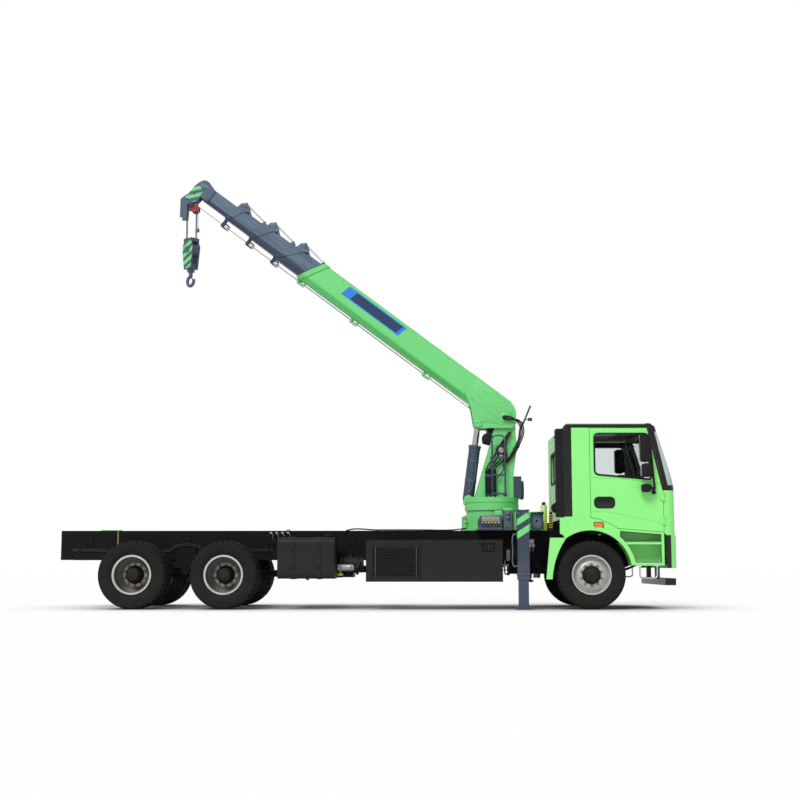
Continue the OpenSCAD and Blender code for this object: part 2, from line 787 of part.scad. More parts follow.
module cab_glass() {
    color(glass) {
        across(-screen_half, screen_half) screen_band(screen_z0, screen_z1, 24, 24 + glass_t);
        block(cab_x0 + 20, cab_x0 + 20 + glass_t, back_window[0][0], back_window[1][0],
            back_window[0][1], back_window[1][1]);
    }
}

// Two seats on the flat floor, the dash on the front wall and the steering wheel
module cab_interior() {
    floor_z = sill_back_z + cab_wall;
    seat_x = cab_x0 + cab_wall + 60;
    dash_x = nose_x - cab_wall;
    dash_half = side_y - corner_y - cab_wall - 10;
    wheel_y = 560;
    color(black) {
        for (y = [-560, wheel_y]) {
            block(seat_x + 20, front_x - 30, y - 180, y + 180, floor_z, floor_z + 180);
            across(y - 260, y + 260) polygon([
                [seat_x + 20, floor_z + 170], [seat_x + 20, floor_z + 320], [seat_x - 30, floor_z + 900],
                [seat_x + 80, floor_z + 910], [seat_x + 160, floor_z + 340], [seat_x + 560, floor_z + 320],
                [seat_x + 580, floor_z + 200], [seat_x + 300, floor_z + 170]
            ]);
        }
        across(-dash_half, dash_half) polygon([
            [dash_x, split_z - 330], [dash_x, split_z - 60], [dash_x - 120, split_z - 40],
            [dash_x - 330, split_z - 90], [dash_x - 340, split_z - 190]
        ]);
        strut(wheel_y, [dash_x - 250, split_z - 140], [dash_x - 430, split_z - 20], 32);
        translate([dash_x - 430, wheel_y, split_z - 20]) rotate([0, -50, 0]) {
            rotate_extrude() translate([215, 0]) circle(r = 17);
            for (a = [90, 210, 330])
                rotate([0, 0, a]) rotate([0, 90, 0]) cylinder(h = 215, r = 12);
        }
    }
}

// Bumper shell with lamp pockets, brackets and the low guard bar
bumper_z = 624;
bumper_wall = 45;
lamp_y = [640, 1000];
lamp_z = [nose_z - 270, nose_z - 110];
module bumper_plan(w) {
    half = [
        [bumper_x - 174 - w, side_y - w], [bumper_x - 120 - w / 2, side_y - w],
        [bumper_x - 40 - 0.8 * w, side_y - 80 - 0.7 * w], [bumper_x - w, side_y - 190 - w]
    ];
    polygon(concat(half, [for (i = [3:-1:0]) [half[i][0], -half[i][1]]]));
}
module headlamp_zone() {
    block(bumper_x - bumper_wall - 1, bumper_x + 1, lamp_y[0], lamp_y[1], lamp_z[0], lamp_z[1]);
}
module bumper() {
    bar_z = 365;
    color(lime) {
        difference() {
            translate([0, 0, bumper_z]) linear_extrude(nose_z - bumper_z) difference() {
                bumper_plan(0);
                bumper_plan(bumper_wall);
            }
            both_sides() headlamp_zone();
            block(bumper_x - 20, bumper_x + 1, -560, 560, bumper_z + 60, bumper_z + 170);
        }
        both_sides() {
            block(frame_front, bumper_x - bumper_wall + 2, rail_in, rail_out, rail_z, rail_z + 150);
            block(frame_front - 90, frame_front - 20, rail_in + 10, rail_out - 10, bar_z + 90, rail_z);
        }
        block(frame_front - 60, frame_front + 105, -1080, 1080, bar_z, bar_z + 106);
    }
}

// Headlamps, amber side markers and tail lamps
module lamps() {
    color([0.9, 0.9, 0.86]) both_sides()
        block(bumper_x - bumper_wall, bumper_x - 6, lamp_y[0], lamp_y[1], lamp_z[0], lamp_z[1]);
    color([0.86, 0.5, 0.1]) both_sides()
        block(front_x + 41, front_x + 178, side_y, side_y + 18, sill_back_z - 150, sill_back_z - 68);
    color([0.6, 0.1, 0.1]) both_sides()
        block(tail_beam_x - 25, tail_beam_x, rail_in - 125, rail_in + 45, rail_z + 90, rail_z + 180);
}

// Fender skirts with step wells, arch liners and the rear mudguards
skirt_t = 40;
step_z = 662;
guard_r = 1168;
guard_back = 603;
module arch_disc(r) {
    translate([front_x - 20, axle_z + 45]) circle(r = r);
}
module guard_disc(r) {
    translate([front_x - guard_back + guard_r, axle_z - 125]) circle(r = r);
}

// A step well's outline between its bottom, its front and a rim around the arch
module well_outline(low, front, rim) {
    back = front_x + 430;
    difference() {
        polygon([[back, low], [back, sill_front_z + 25], [front, sill_front_z - 25], [front, low]]);
        arch_disc(arch_r + rim);
    }
}
module fenders() {
    liner_in = kingpin_y;
    liner_out = side_y - skirt_t / 2;
    liner_t = 14;
    well_in = side_y - 260;
    well_front = door_x1 - 10;
    flap_top = axle_z + 561;
    flap_low = axle_z - 66;
    skirt_back = cab_x0 - 72;
    color(lime) both_sides() {
        across(side_y - skirt_t, side_y) difference() {
            polygon(concat(
                [[skirt_back, axle_z + 622], [skirt_back, sill_back_z]], [for (i = [0:4]) sill_point(i, 0)],
                [[door_x1, step_z], [front_x + 640, step_z]]
            ));
            arch_disc(arch_r);
            well_outline(step_z + 40, door_x1 - 40, 70);
        }
        across(liner_in, liner_out) intersection() {
            difference() {
                arch_disc(arch_r + liner_t);
                arch_disc(arch_r);
            }
            union() {
                translate([cab_x0 - 60, axle_z + 300]) square([cab_back + 620, arch_r]);
                translate([front_x + 300, step_z]) square([400, arch_r]);
            }
        }
        across(well_in, well_in + 20) well_outline(step_z, well_front, liner_t / 2);
        for (z = [step_z + 5, step_z + 320])
            across(well_in + 10, side_y - 6) difference() {
                translate([front_x + 430, z]) square([well_front - 10 - front_x - 430, 34]);
                arch_disc(arch_r + liner_t / 2);
            }
        across(side_y - skirt_t, side_y) difference() {
            polygon([
                [front_x - 632, flap_top], [front_x - 694, flap_low], [front_x - 560, flap_low],
                [front_x - 340, flap_top]
            ]);
            guard_disc(guard_r);
        }
        across(liner_in, liner_out) intersection() {
            difference() {
                guard_disc(guard_r + liner_t);
                guard_disc(guard_r);
            }
            translate([front_x - 694, flap_low]) square([400, flap_top - flap_low]);
        }
        rod_y(front_x - 575, rail_z + 60, rail_out, liner_in + 40, 24);
    }
}

// Doors with cut windows, handles and hinge knuckles at the front edge
module door(side) {
    color(lime) on_side(side) {
        difference() {
            across(side_y - cab_wall, side_y) door_outline(0);
            across(side_y - cab_wall - 1, side_y + 1) window_outline();
            across(side_y - 14, side_y + 1) translate([door_x0 + 60, sill_back_z + 155])
                round_rect(0, 300, 0, 160, 70);
        }
        block(door_x0 + 100, door_x0 + 320, side_y - 20, side_y - 4, sill_back_z + 225, sill_back_z + 262);
        for (z = HINGE_Z) difference() {
            union() {
                translate([hinge_x, hinge_y, z]) cylinder(h = hinge_h, r = hinge_r);
                block(hinge_x - 45, hinge_x, side_y + 1, hinge_y, z, z + hinge_h);
                block(hinge_x - 45, door_x1 - 2, side_y - 2, side_y + 2, z, z + hinge_h);
            }
            translate([hinge_x, hinge_y, z - 1]) cylinder(h = hinge_h + 2, r = hinge_pin_r + fit);
        }
    }
}
module door_left() { door(1); }
module door_right() { door(-1); }
module door_glass(side) {
    color(glass) on_side(side)
        across(side_y - cab_wall / 2 - glass_t, side_y - cab_wall / 2) window_outline();
}
module door_glass_left() { door_glass(1); }
module door_glass_right() { door_glass(-1); }

// Mirror heads on a bent arm from the door's front edge: back edge ahead of the door's back, bottom, top
MIRRORS = [[745, 2230, 2640], [765, 2000, 2205], [750, 1770, 1890]];
module mirrors(side) {
    head_w = 165;
    arm_x = door_x0 + 960;
    color(black) on_side(side) {
        for (m = MIRRORS) {
            middle = (m[1] + m[2]) / 2;
            back = door_x0 + m[0];
            across(side_y + 50, side_y + 150) round_rect(back, back + head_w, m[1], m[2], 55);
            on_arm = arm_x - (middle - 1830) * 60 / 730;
            strut(side_y + 100, [back + head_w - 30, middle], [on_arm, middle], 14);
        }
        strut(side_y + 100, [arm_x, 1830], [arm_x - 60, 2560], 16);
        rod_y(arm_x, 1830, side_y, side_y + 112, 16);
        rod_y(arm_x, 1770, side_y, side_y + 30, 30);
        strut(side_y + 20, [arm_x, 1760], [arm_x, 1850], 18);
    }
}
module mirrors_left() { mirrors(1); }
module mirrors_right() { mirrors(-1); }

// Crane base: drum on a deck plate, fused with the two outrigger tubes
tube_half = beam_w / 2 + beam_play;
base_x0 = beam_r_x - tube_half - beam_wall;
base_x1 = beam_l_x + tube_half + beam_wall;
base_top = tube_z + beam_h + 10 + beam_wall;
spigot_r = 240;
module crane_base() {
    color(green) difference() {
        union() {
            block(slew_x - drum_r, base_x1, -rail_out, rail_out, deck_z, deck_z + 40);
            translate([slew_x, 0, deck_z]) cylinder(h = drum_h, r = drum_r);
            translate([slew_x, 0, deck_z]) cylinder(h = drum_h + 80, r = spigot_r);
            block(base_x0, base_x1, -tube_end, tube_end, deck_z, base_top);
            both_sides() across(120, 160) polygon([
                [slew_x - drum_r - 70, deck_z], [slew_x - drum_r - 70, deck_z + 230],
                [slew_x - drum_r + 80, deck_z + 280], [slew_x - drum_r + 80, deck_z]
            ]);
        }
        for (x = [beam_r_x, beam_l_x])
            block(x - tube_half, x + tube_half, -tube_end - 1, tube_end + 1, tube_z, tube_z + beam_h + 10);
    }
}

// Operator's console beside the base with its levers
module console() {
    x0 = front_x - 1700;
    x1 = front_x - 1330;
    y0 = -rail_out - 230;
    color(slate) {
        block(x0 - 20, x1 + 20, y0, -rail_out, deck_z, deck_z + 20);
        across(y0, y0 + 170) polygon([
            [x0, deck_z - 1], [x0, deck_z + 150], [x0 + 40, deck_z + 225], [x1, deck_z + 225],
            [x1, deck_z - 1]
        ]);
        for (i = [0:5])
            translate([x0 + 70 + i * 50, y0 + 8, deck_z + 70]) rotate([60, 0, 0]) cylinder(h = 90, r = 7);
    }
}

// Turntable on the base spigot with the lift cylinder's lugs
lug_gap = barrel_r + 6;
module turntable() {
    color(green) difference() {
        union() {
            translate([slew_x, 0, table_z]) cylinder(h = table_h, r = table_r);
            both_sides() across(lug_gap, lug_gap + 40) {
                polygon([
                    [pin_x - 75, table_top - 90], [pin_x - 75, pin_z], [pin_x + 75, pin_z],
                    [pin_x + 180, table_top - 20], [pin_x + 180, table_top - 90]
                ]);
                translate([pin_x, pin_z]) circle(r = 75);
            }
            rod_y(pin_x, pin_z, -lug_gap - 40, lug_gap + 40, lift_pin_r);
        }
        translate([slew_x, 0, table_z - 1]) cylinder(h = 81 + slew_gap, r = spigot_r + fit);
        difference() {
            across(-lug_gap, lug_gap) union() {
                translate([pin_x, pin_z]) circle(r = 112);
                translate([pin_x - 150, pin_z]) square([262, 300]);
                translate([pin_x - 250, pin_z - 112]) square([250, 400]);
            }
            rod_y(pin_x, pin_z, -lug_gap - 40, lug_gap + 40, lift_pin_r);
        }
        translate([slew_x, 0, table_z + table_h * 0.55]) difference() {
            cylinder(h = 14, r = table_r + 20);
            cylinder(h = 14, r = table_r - 10);
        }
    }
}

// Column: a box leaning forward with a round head between the boom cheeks and a channel for the cylinder
column_low = slew_x - 278;
head_z = pivot_z - 450;
module column_outline() {
    polygon([
        [column_low, table_top], [pivot_x - head_r - 17, pivot_z - 290], [pivot_x - head_r, pivot_z],
        [pivot_x + head_r, pivot_z], [pivot_x + 197, pivot_z - 477], [pivot_x + 136, pivot_z - 944],
        [pivot_x + 136, table_top]
    ]);
    translate([pivot_x, pivot_z]) circle(r = head_r);
}
winch_x = pivot_x - 201;
winch_z = pivot_z - 181;
winch_r = 85;
winch_half = 100;
module column() {
    cheek = 30;
    channel = 95;
    color(green) difference() {
        union() {
            across(-head_half, head_half) column_outline();
            intersection() {
                across(-column_half, column_half) column_outline();
                block(column_low - 10, pivot_x + 400, -column_half, column_half, table_top, head_z);
            }
            both_sides() across(winch_half + 6, winch_half + 6 + cheek) {
                translate([winch_x, winch_z]) circle(r = 62);
                polygon([
                    [winch_x - 40, winch_z - 48], [winch_x + 40, winch_z + 48], [winch_x + 220, winch_z + 40],
                    [winch_x + 160, winch_z - 220]
                ]);
            }
        }
        across(-barrel_r - 14, barrel_r + 14) polygon([
            [column_low - 20, table_top - 1], [column_low + channel, table_top - 1],
            [pivot_x - head_r - 17 + channel - 40, pivot_z - 360], [pivot_x - head_r - 60, pivot_z - 360]
        ]);
        across(-winch_half - 6, winch_half + 6) translate([winch_x, winch_z]) circle(r = winch_r + 14);
        rod_y(pivot_x, pivot_z, -head_half - 1, head_half + 1, pivot_r + fit);
        rod_y(winch_x, winch_z, -winch_half - 60, winch_half + 60, 24 + fit);
    }
}

// Winch drum on its shaft
module winch_drum() {
    color(slate) {
        rod_y(winch_x, winch_z, -winch_half, winch_half, winch_r - 20);
        rod_y(winch_x, winch_z, -winch_half, -winch_half + 14, winch_r);
        rod_y(winch_x, winch_z, winch_half - 14, winch_half, winch_r);
        rod_y(winch_x, winch_z, -winch_half - 34, winch_half + 34, 24);
    }
}

// Guard ladder, oil cooler with fan, valve block and hose reel on the column's right side
module column_gear() {
    y = -column_half - 100;
    rail_x = [slew_x + 0, slew_x + 205];
    tube = 14;
    ladder_top = table_top + 900;
    color(slate) {
        for (x = rail_x)
            translate([x, y, table_top]) cylinder(h = ladder_top - table_top, r = tube);
        for (z = [table_top + 60, table_top + 360, table_top + 640])
            rod_x(y, z, rail_x[0], rail_x[1], tube);
        for (x = rail_x)
            for (z = [table_top + 60, table_top + 640])
                rod_y(x, z, y, -column_half, tube);
        block(slew_x - 115, slew_x + 65, -column_half - 70, -column_half, table_top + 20, table_top + 370);
        rod_y(slew_x + 145, table_top + 760, -column_half - 80, -column_half, 88);
        block(pivot_x + 136, pivot_x + 260, -column_half - 40, column_half + 40, table_top, table_top + 340);
        rod_x(0, table_top + 130, pivot_x + 250, pivot_x + 300, 150);
    }
}

// Places in the boom's own frame: u to the tip, v square to it
module boom_frame() {
    translate([pivot_x, 0, pivot_z]) rotate([0, 0, 180]) rotate([0, -boom_angle, 0]) children();
}

// Boom section outline with deep lower and small upper chamfers, drawn in by w
module boom_profile(row, w) {
    b = row[0] / 2 - w;
    h = row[1] / 2 - w;
    low = row[0] * 0.2;
    high = row[0] * 0.1;
    translate([0, boom_axis]) polygon([
        [b - low, -h], [b, -h + low], [b, h - high], [b - high, h], [-b + high, h], [-b, h - high],
        [-b, -h + low], [-b + low, -h]
    ]);
}

module boom_tube(row, u0, u1) {
    along(u0, u1) difference() {
        boom_profile(row, 0);
        boom_profile(row, boom_wall);
    }
}

// Rope guide loop under a section; all loops hang to one line
guide_w = 110;
guide_t = 12;
guide_foot = boom_axis - BOOM[0][1] / 2 - 75;
function under_of(row) = boom_axis - row[1] / 2;
module rope_guide(u, under) {
    difference() {
        block(u - 18, u + 18, -guide_w / 2, guide_w / 2, guide_foot, under + 2);
        block(u - 19, u + 19, -guide_w / 2 + guide_t, guide_w / 2 - guide_t, guide_foot + guide_t, under - 6);
    }
}

// What a raked mouth leaves out of a section's end
module mouth_cut(row) {
    under = under_of(row) - 20;
    top = boom_axis + row[1] / 2 + 20;
    across(-row[0], row[0]) polygon([
        [row[2], under], [row[2] + 50, under], [row[2] + 50, top], [row[2] - row[3], top]
    ]);
}

// Main boom: raked mouth, collar, root cheeks that straddle the column head, pivot pin
module boom_main() {
    row = BOOM[0];
    top = boom_axis + row[1] / 2;
    under = under_of(row);
    rake = row[3];
    collar = 90;
    cheek_out = cheek_in + cheek_t;
    ev = -eye_back * sin(boom_angle) - eye_drop * cos(boom_angle);
    eu = eye_back * cos(boom_angle) - eye_drop * sin(boom_angle);
    color(green) boom_frame() {
        difference() {
            union() {
                boom_tube(row, boom_root, row[2]);
                intersection() {
                    along(row[2] - rake - 200, row[2]) difference() {
                        boom_profile(row, -14);
                        boom_profile(row, boom_wall);
                    }
                    across(-row[0], row[0]) polygon([
                        [row[2], under - 20], [row[2] - collar, under - 20],
                        [row[2] - rake - collar, top + 20], [row[2] - rake, top + 20]
                    ]);
                }
            }
            mouth_cut(row);
        }
        both_sides() across(cheek_in, cheek_out) difference() {
            polygon([
                [boom_root + 330, under + 100], [eu + 260, ev + 155], [eu + 40, ev - 55], [eu - 35, ev - 62],
                [-20, -190], [-200, -60], [-215, 30], [-88, 203], [0, top - 30], [120, top - 6],
                [boom_root + 420, top - 6]
            ]);
            circle(r = pivot_r - 2);
        }
        rod_y(0, 0, -cheek_out, cheek_out, pivot_r);
        block(60, boom_root + 40, -cheek_out, cheek_out, top - 26, top - 6);
        for (u = [row[2] - 60, row[2] * 0.72, row[2] * 0.36])
            rope_guide(u, under);
    }
}

// Inner sections with wear pads at the tail, a collar with roller bracket and a rope guide at the mouth
module boom_section(i) {
    row = BOOM[i];
    outer = BOOM[i - 1];
    half = row[0] / 2;
    pad = (outer[1] - row[1]) / 2 - boom_wall - fit;
    tail = boom_root + i * tail_step;
    top = boom_axis + row[1] / 2;
    under = under_of(row);
    neck = row[2] - row[3];
    color(slate) boom_frame() {
        difference() {
            boom_tube(row, tail, row[2]);
            mouth_cut(row);
        }
        block(tail, tail + 160, -row[0] / 6, row[0] / 6, top - 2, top + pad);
        block(tail, tail + 160, -row[0] / 6, row[0] / 6, under - pad, under + 2);
        if (i < 4) {
            both_sides() across(half - 2, half + 14) polygon([
                [row[2] - 10, under + 10], [neck, top], [neck - 20, top + 70], [neck - 90, top + 130],
                [neck - 220, top + 30], [neck - 130, top - 30], [row[2] - 90, under + 10]
            ]);
            rod_y(neck - 95, top + 82, -half - 10, half + 10, 34);
            block(neck - 200, neck - 170, -half - 12, half + 12, top + 18, top + 44);
            rope_guide(row[2] - 40, under);
        }
    }
}
module boom_2() { boom_section(1); }
module boom_3() { boom_section(2); }
module boom_4() { boom_section(3); }
module boom_5() { boom_section(4); }

// Head: side plates with a bent-down nose and striped guards, top sheave and crossbars
module boom_head() {
    half = BOOM[4][0] / 2;
    plate = 20;
    u = head_u;
    color(slate) boom_frame() difference() {
        union() {
            both_sides() across(half, half + plate) {
                polygon([
                    [u - 110, -40], [u - 110, 180], [u + 40, 232], [u + 100, 240], [u + 155, 222],
                    [u + 200, 165], [u + 226, 60], [u + 232, -100], [u + 222, -255], [u + 130, -265],
                    [u + 50, -150], [u + 40, -45]
                ]);
                polygon([
                    [u + 150, -250], [u + 231, -120], [u + 262, -190], [u + 280, -270], [u + 96, -525],
                    [u + 12, -462]
                ]);
            }
            rod_y(u + 105, 125, -half - 10, half + 10, 30);
            rod_y(u + 105, 125, -70, 70, 90);
            block(u + 172, u + 202, -half - 2, half + 2, -20, 100);
            block(u + 1, u + 60, -half - 2, half + 2, -30, 0);
        }
        rod_y(hook_u, hook_v, -half - 60, half + 60, hook_pin_r + fit);
    }
}

// Hook block: sheaves on the head pin, rope falls, yawed cheek block and hook
block_drop = 575;
block_tall = 520;
block_yaw = -40;
module hook_outline() {
    rotate_extrude(angle = 285, start = 90) translate([78, 0]) circle(r = 27);
}
module hook_block() {
    half = BOOM[4][0] / 2;
    top = hook_z - block_drop;
    wide = 130;
    color(slate) {
        rod_y(hook_x, hook_z, -half - 20, half + 20, hook_pin_r);
        for (y = [-45, 45])
            rod_y(hook_x, hook_z, y - 24, y + 24, 90);
        for (y = [-45, 45])
            for (x = [-78, 78])
                translate([hook_x + x, y, top - 20]) cylinder(h = block_drop + 20, r = 7);
        translate([hook_x, 0, 0]) rotate([0, 0, block_yaw]) {
            both_sides() across(58, 84) polygon([
                [-wide * 0.5, top], [wide * 0.5, top], [wide, top - 150], [wide * 0.62, top - block_tall],
                [-wide * 0.62, top - block_tall], [-wide, top - 150]
            ]);
            rod_y(0, top - 190, -70, 70, 115);
            rod_y(0, top - 190, -100, 100, 32);
            block(-100, 100, -84, 84, top - 60, top);
            block(-70, 70, -70, 70, top - block_tall, top - block_tall + 90);
        }
        translate([hook_x, 0, top - block_tall - 130]) cylinder(h = 140, r = 32);
        translate([hook_x, 0, top - block_tall - 200]) rotate([90, 0, block_yaw]) hook_outline();
    }
}

// Lift cylinder along its own axis from the barrel pin
module lift_frame() {
    translate([pin_x, 0, pin_z]) rotate([0, lift_tilt, 0]) children();
}
module lift_barrel() {
    color(slate) lift_frame() difference() {
        union() {
            cylinder(h = barrel_len, r = barrel_r);
            rod_y(0, 0, -barrel_r, barrel_r, 80);
            translate([0, 0, barrel_len - 60]) cylinder(h = 60, r = barrel_r + 6);
        }
        rod_y(0, 0, -barrel_r - 1, barrel_r + 1, lift_pin_r + fit);
        translate([0, 0, 110]) cylinder(h = barrel_len, r = rod_r + fit);
    }
}
module lift_rod() {
    eye = 66;
    color(steel) lift_frame() {
        translate([0, 0, 420]) cylinder(h = lift_len - 420, r = rod_r);
        rod_y(0, lift_len, -70, 70, eye);
        rod_y(0, lift_len, -head_half + 25, head_half - 25, lift_pin_r);
    }
}

// Outrigger beam with the jack box at its outer end
module outrigger_beam(x, side) {
    inner_end = tube_end - 60;
    color(slate) on_side(side) {
        difference() {
            block(x - beam_w / 2, x + beam_w / 2, -inner_end, leg_y - jack_w / 2, beam_z, beam_z + beam_h);
            block(x - beam_w / 2 + beam_wall, x + beam_w / 2 - beam_wall, -inner_end - 1,
                leg_y - jack_w / 2 - beam_wall, beam_z + beam_wall, beam_z + beam_h - beam_wall);
        }
        difference() {
            union() {
                block(x - jack_w / 2, x + jack_w / 2, leg_y - jack_w / 2, leg_y + jack_w / 2, jack_z,
                    base_top + 10);
                block(x - jack_w / 2 - 6, x + jack_w / 2 + 6, leg_y - jack_w / 2 - 6, leg_y + jack_w / 2 + 6,
                    jack_z + 60, jack_z + 100);
            }
            block(x - leg_w / 2 - fit, x + leg_w / 2 + fit, leg_y - leg_w / 2 - fit, leg_y + leg_w / 2 + fit,
                jack_z - 1, base_top - 10);
        }
    }
}
module outrigger_beam_right() { outrigger_beam(beam_r_x, -1); }
module outrigger_beam_left() { outrigger_beam(beam_l_x, 1); }

// Jack leg and foot, raised by lift
module outrigger_leg(x, side, lift) {
    foot_t = 28;
    z = foot_gap + lift;
    top = jack_z + 480 - leg_stroke + lift;
    color(slate) on_side(side) {
        block(x - leg_w / 2, x + leg_w / 2, leg_y - leg_w / 2, leg_y + leg_w / 2, z + foot_t - 1, top);
        block(x - foot_w / 2, x + foot_w / 2, leg_y - jack_w / 2, leg_y + jack_w / 2, z, z + foot_t);
    }
}
module outrigger_leg_right() { outrigger_leg(beam_r_x, -1, 0); }
module outrigger_leg_left() { outrigger_leg(beam_l_x, 1, leg_stroke); }

frame_rails();
subframe();
front_axle();
rear_axles();
leaf_springs();
driveline();
tail_beam();
knuckle_left();
knuckle_right();
front_tyre_left();
front_tyre_right();
front_rim_left();
front_rim_right();
rear_tyres_1_left();
rear_tyres_1_right();
rear_tyres_2_left();
rear_tyres_2_right();
rear_rims_1_left();
rear_rims_1_right();
rear_rims_2_left();
rear_rims_2_right();
fuel_tank();
side_cover();
left_gear();
cab_rear_gear();
intake_duct();
cab_shell();
cab_roof();
cab_front();
cab_glass();
cab_interior();
bumper();
lamps();
fenders();
door_left();
door_right();
door_glass_left();
door_glass_right();
mirrors_left();
mirrors_right();
crane_base();
console();
turntable();
column();
column_gear();
winch_drum();
lift_barrel();
lift_rod();
boom_main();
boom_2();
boom_3();
boom_4();
boom_5();
boom_head();
hook_block();
outrigger_beam_left();
outrigger_beam_right();
outrigger_leg_left();
outrigger_leg_right();
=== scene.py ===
import bmesh
import bpy
import math
from mathutils import Matrix, Vector


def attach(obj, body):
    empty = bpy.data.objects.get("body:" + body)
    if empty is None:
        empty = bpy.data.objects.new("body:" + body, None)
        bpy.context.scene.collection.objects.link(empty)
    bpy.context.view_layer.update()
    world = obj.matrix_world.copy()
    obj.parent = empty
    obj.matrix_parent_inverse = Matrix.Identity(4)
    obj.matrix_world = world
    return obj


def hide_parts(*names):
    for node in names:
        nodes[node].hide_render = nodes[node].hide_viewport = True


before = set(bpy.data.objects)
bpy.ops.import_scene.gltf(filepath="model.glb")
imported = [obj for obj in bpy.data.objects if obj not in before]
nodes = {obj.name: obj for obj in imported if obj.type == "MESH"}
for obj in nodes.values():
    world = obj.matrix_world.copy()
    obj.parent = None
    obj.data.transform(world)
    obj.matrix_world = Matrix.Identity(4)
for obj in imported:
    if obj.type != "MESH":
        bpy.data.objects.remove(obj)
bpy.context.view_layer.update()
scene = bpy.context.scene
scene.view_settings.view_transform = "Standard"

# Places of the truck in metres
FRONT_X = 3.495
REAR_X = (-2.105, -3.505)
NOSE_X = 4.785
CAB_X = 3.088
CAB_TOP = 2.831
SIDE = 1.200
AXLE_Z = 0.522
RAIL_Z = 0.749
DECK = 1.210
RAIL = 0.430
SLEW_X = 2.045
TABLE_TOP = 1.7415
PIVOT = Vector((2.252, 0, 3.031))
BOOM_ANGLE = math.radians(37)
BOOM_AXIS = 0.066
# Width, depth, reach of the mouth and rake of the collar of each boom section
SECTIONS = ((0.340, 0.430, 4.130, 0.265), (0.296, 0.374, 4.670, 0.250), (0.258, 0.330, 5.190, 0.150),
            (0.222, 0.290, 5.710, 0.080), (0.188, 0.250, 6.200, 0.0))
HEAD_U = 6.200
BEAM_X = {-1: 2.456, 1: 2.681}
LEG_Y = 1.160
HOOK = Vector((-2.9098, 0, 6.6327))
LIFT_FOOT = Vector((1.666, 0, 1.712))
LIFT_EYE = Vector((1.827, 0, 2.930))
WINCH = Vector((2.051, 0, 2.850))
SIDES = (("left", 1), ("right", -1))

# In the boom's own frame x runs to the tip, z is square to the boom and +y is the truck's right side
BOOM = Matrix((
    (-math.cos(BOOM_ANGLE), 0, math.sin(BOOM_ANGLE), PIVOT.x),
    (0, -1, 0, 0),
    (math.sin(BOOM_ANGLE), 0, math.cos(BOOM_ANGLE), PIVOT.z),
    (0, 0, 0, 1)))


# Camera

camera_data = bpy.data.cameras.new("camera")
camera_data.sensor_width = 36
camera_data.lens = 58.8
camera_data.clip_end = 500
camera = bpy.data.objects.new("camera", camera_data)
camera.location = (0.889, -21.2, 0.67)
camera.rotation_euler = (math.radians(97.2), 0, math.radians(0.88))
scene.collection.objects.link(camera)
scene.camera = camera


# Node helpers

class Wiring:
    """Places and joins the nodes of one shader tree."""

    def __init__(self, tree):
        self.tree = tree

    def put(self, socket, value):
        """Feeds a socket from another socket, or sets its value."""
        if isinstance(value, bpy.types.NodeSocket):
            self.tree.links.new(value, socket)
        elif value is not None:
            socket.default_value = value

    def add(self, kind, values=None, **settings):
        """A new node with its settings and its input values."""
        node = self.tree.nodes.new("ShaderNode" + kind)
        for name, value in settings.items():
            setattr(node, name, value)
        for name, value in (values or {}).items():
            self.put(node.inputs[name], value)
        return node

    def calc(self, operation, a, b=None, c=None):
        """The result of a math node."""
        node = self.add("Math", operation=operation)
        for socket, value in zip(node.inputs, (a, b, c)):
            self.put(socket, value)
        return node.outputs[0]

    def above(self, value, limit):
        return self.calc("GREATER_THAN", value, limit)

    def below(self, value, limit):
        return self.calc("LESS_THAN", value, limit)

    def size(self, value):
        return self.calc("ABSOLUTE", value)

    def ramp(self, value, a, b, low=0.0, high=1.0):
        return self.add("MapRange", {"Value": value, "From Min": a, "From Max": b, "To Min": low,
                                     "To Max": high}).outputs["Result"]

    def blend(self, share, a, b):
        """Mixes two colours."""
        node = self.add("Mix", data_type="RGBA")
        for place, value in ((0, share), (6, a), (7, b)):
            self.put(node.inputs[place], value)
        return node.outputs[2]

    def lerp(self, share, a, b):
        """Mixes two values."""
        node = self.add("Mix", data_type="FLOAT")
        for place, value in ((0, share), (2, a), (3, b)):
            self.put(node.inputs[place], value)
        return node.outputs[0]

    def where(self):
        return self.add("TexCoord").outputs["Object"]

    def axes(self, vector):
        node = self.add("SeparateXYZ", {"Vector": vector})
        return node.outputs["X"], node.outputs["Y"], node.outputs["Z"]

    def noise(self, vector, scale, detail=4.0, rough=0.55):
        return self.add("TexNoise", {"Vector": vector, "Scale": scale, "Detail": detail,
                                     "Roughness": rough}).outputs["Fac"]


def new_group(name, takes, gives):
    """An empty node group with its named sockets; returns its wiring, its inputs and its outputs."""
    group = bpy.data.node_groups.new(name, "ShaderNodeTree")
    kinds = {"value": "NodeSocketFloat", "colour": "NodeSocketColor", "vector": "NodeSocketVector"}
    for label, kind in takes:
        group.interface.new_socket(label, in_out="INPUT", socket_type=kinds[kind])
    for label, kind in gives:
        group.interface.new_socket(label, in_out="OUTPUT", socket_type=kinds[kind])
    wiring = Wiring(group)
    return wiring, group.nodes.new("NodeGroupInput").outputs, group.nodes.new("NodeGroupOutput").inputs


def grouped(wiring, name, values):
    """A shared effect placed in a finish; returns its outputs."""
    node = wiring.tree.nodes.new("ShaderNodeGroup")
    node.node_tree = bpy.data.node_groups[name]
    for label, value in values.items():
        wiring.put(node.inputs[label], value)
    return node.outputs


# Effects that finishes share

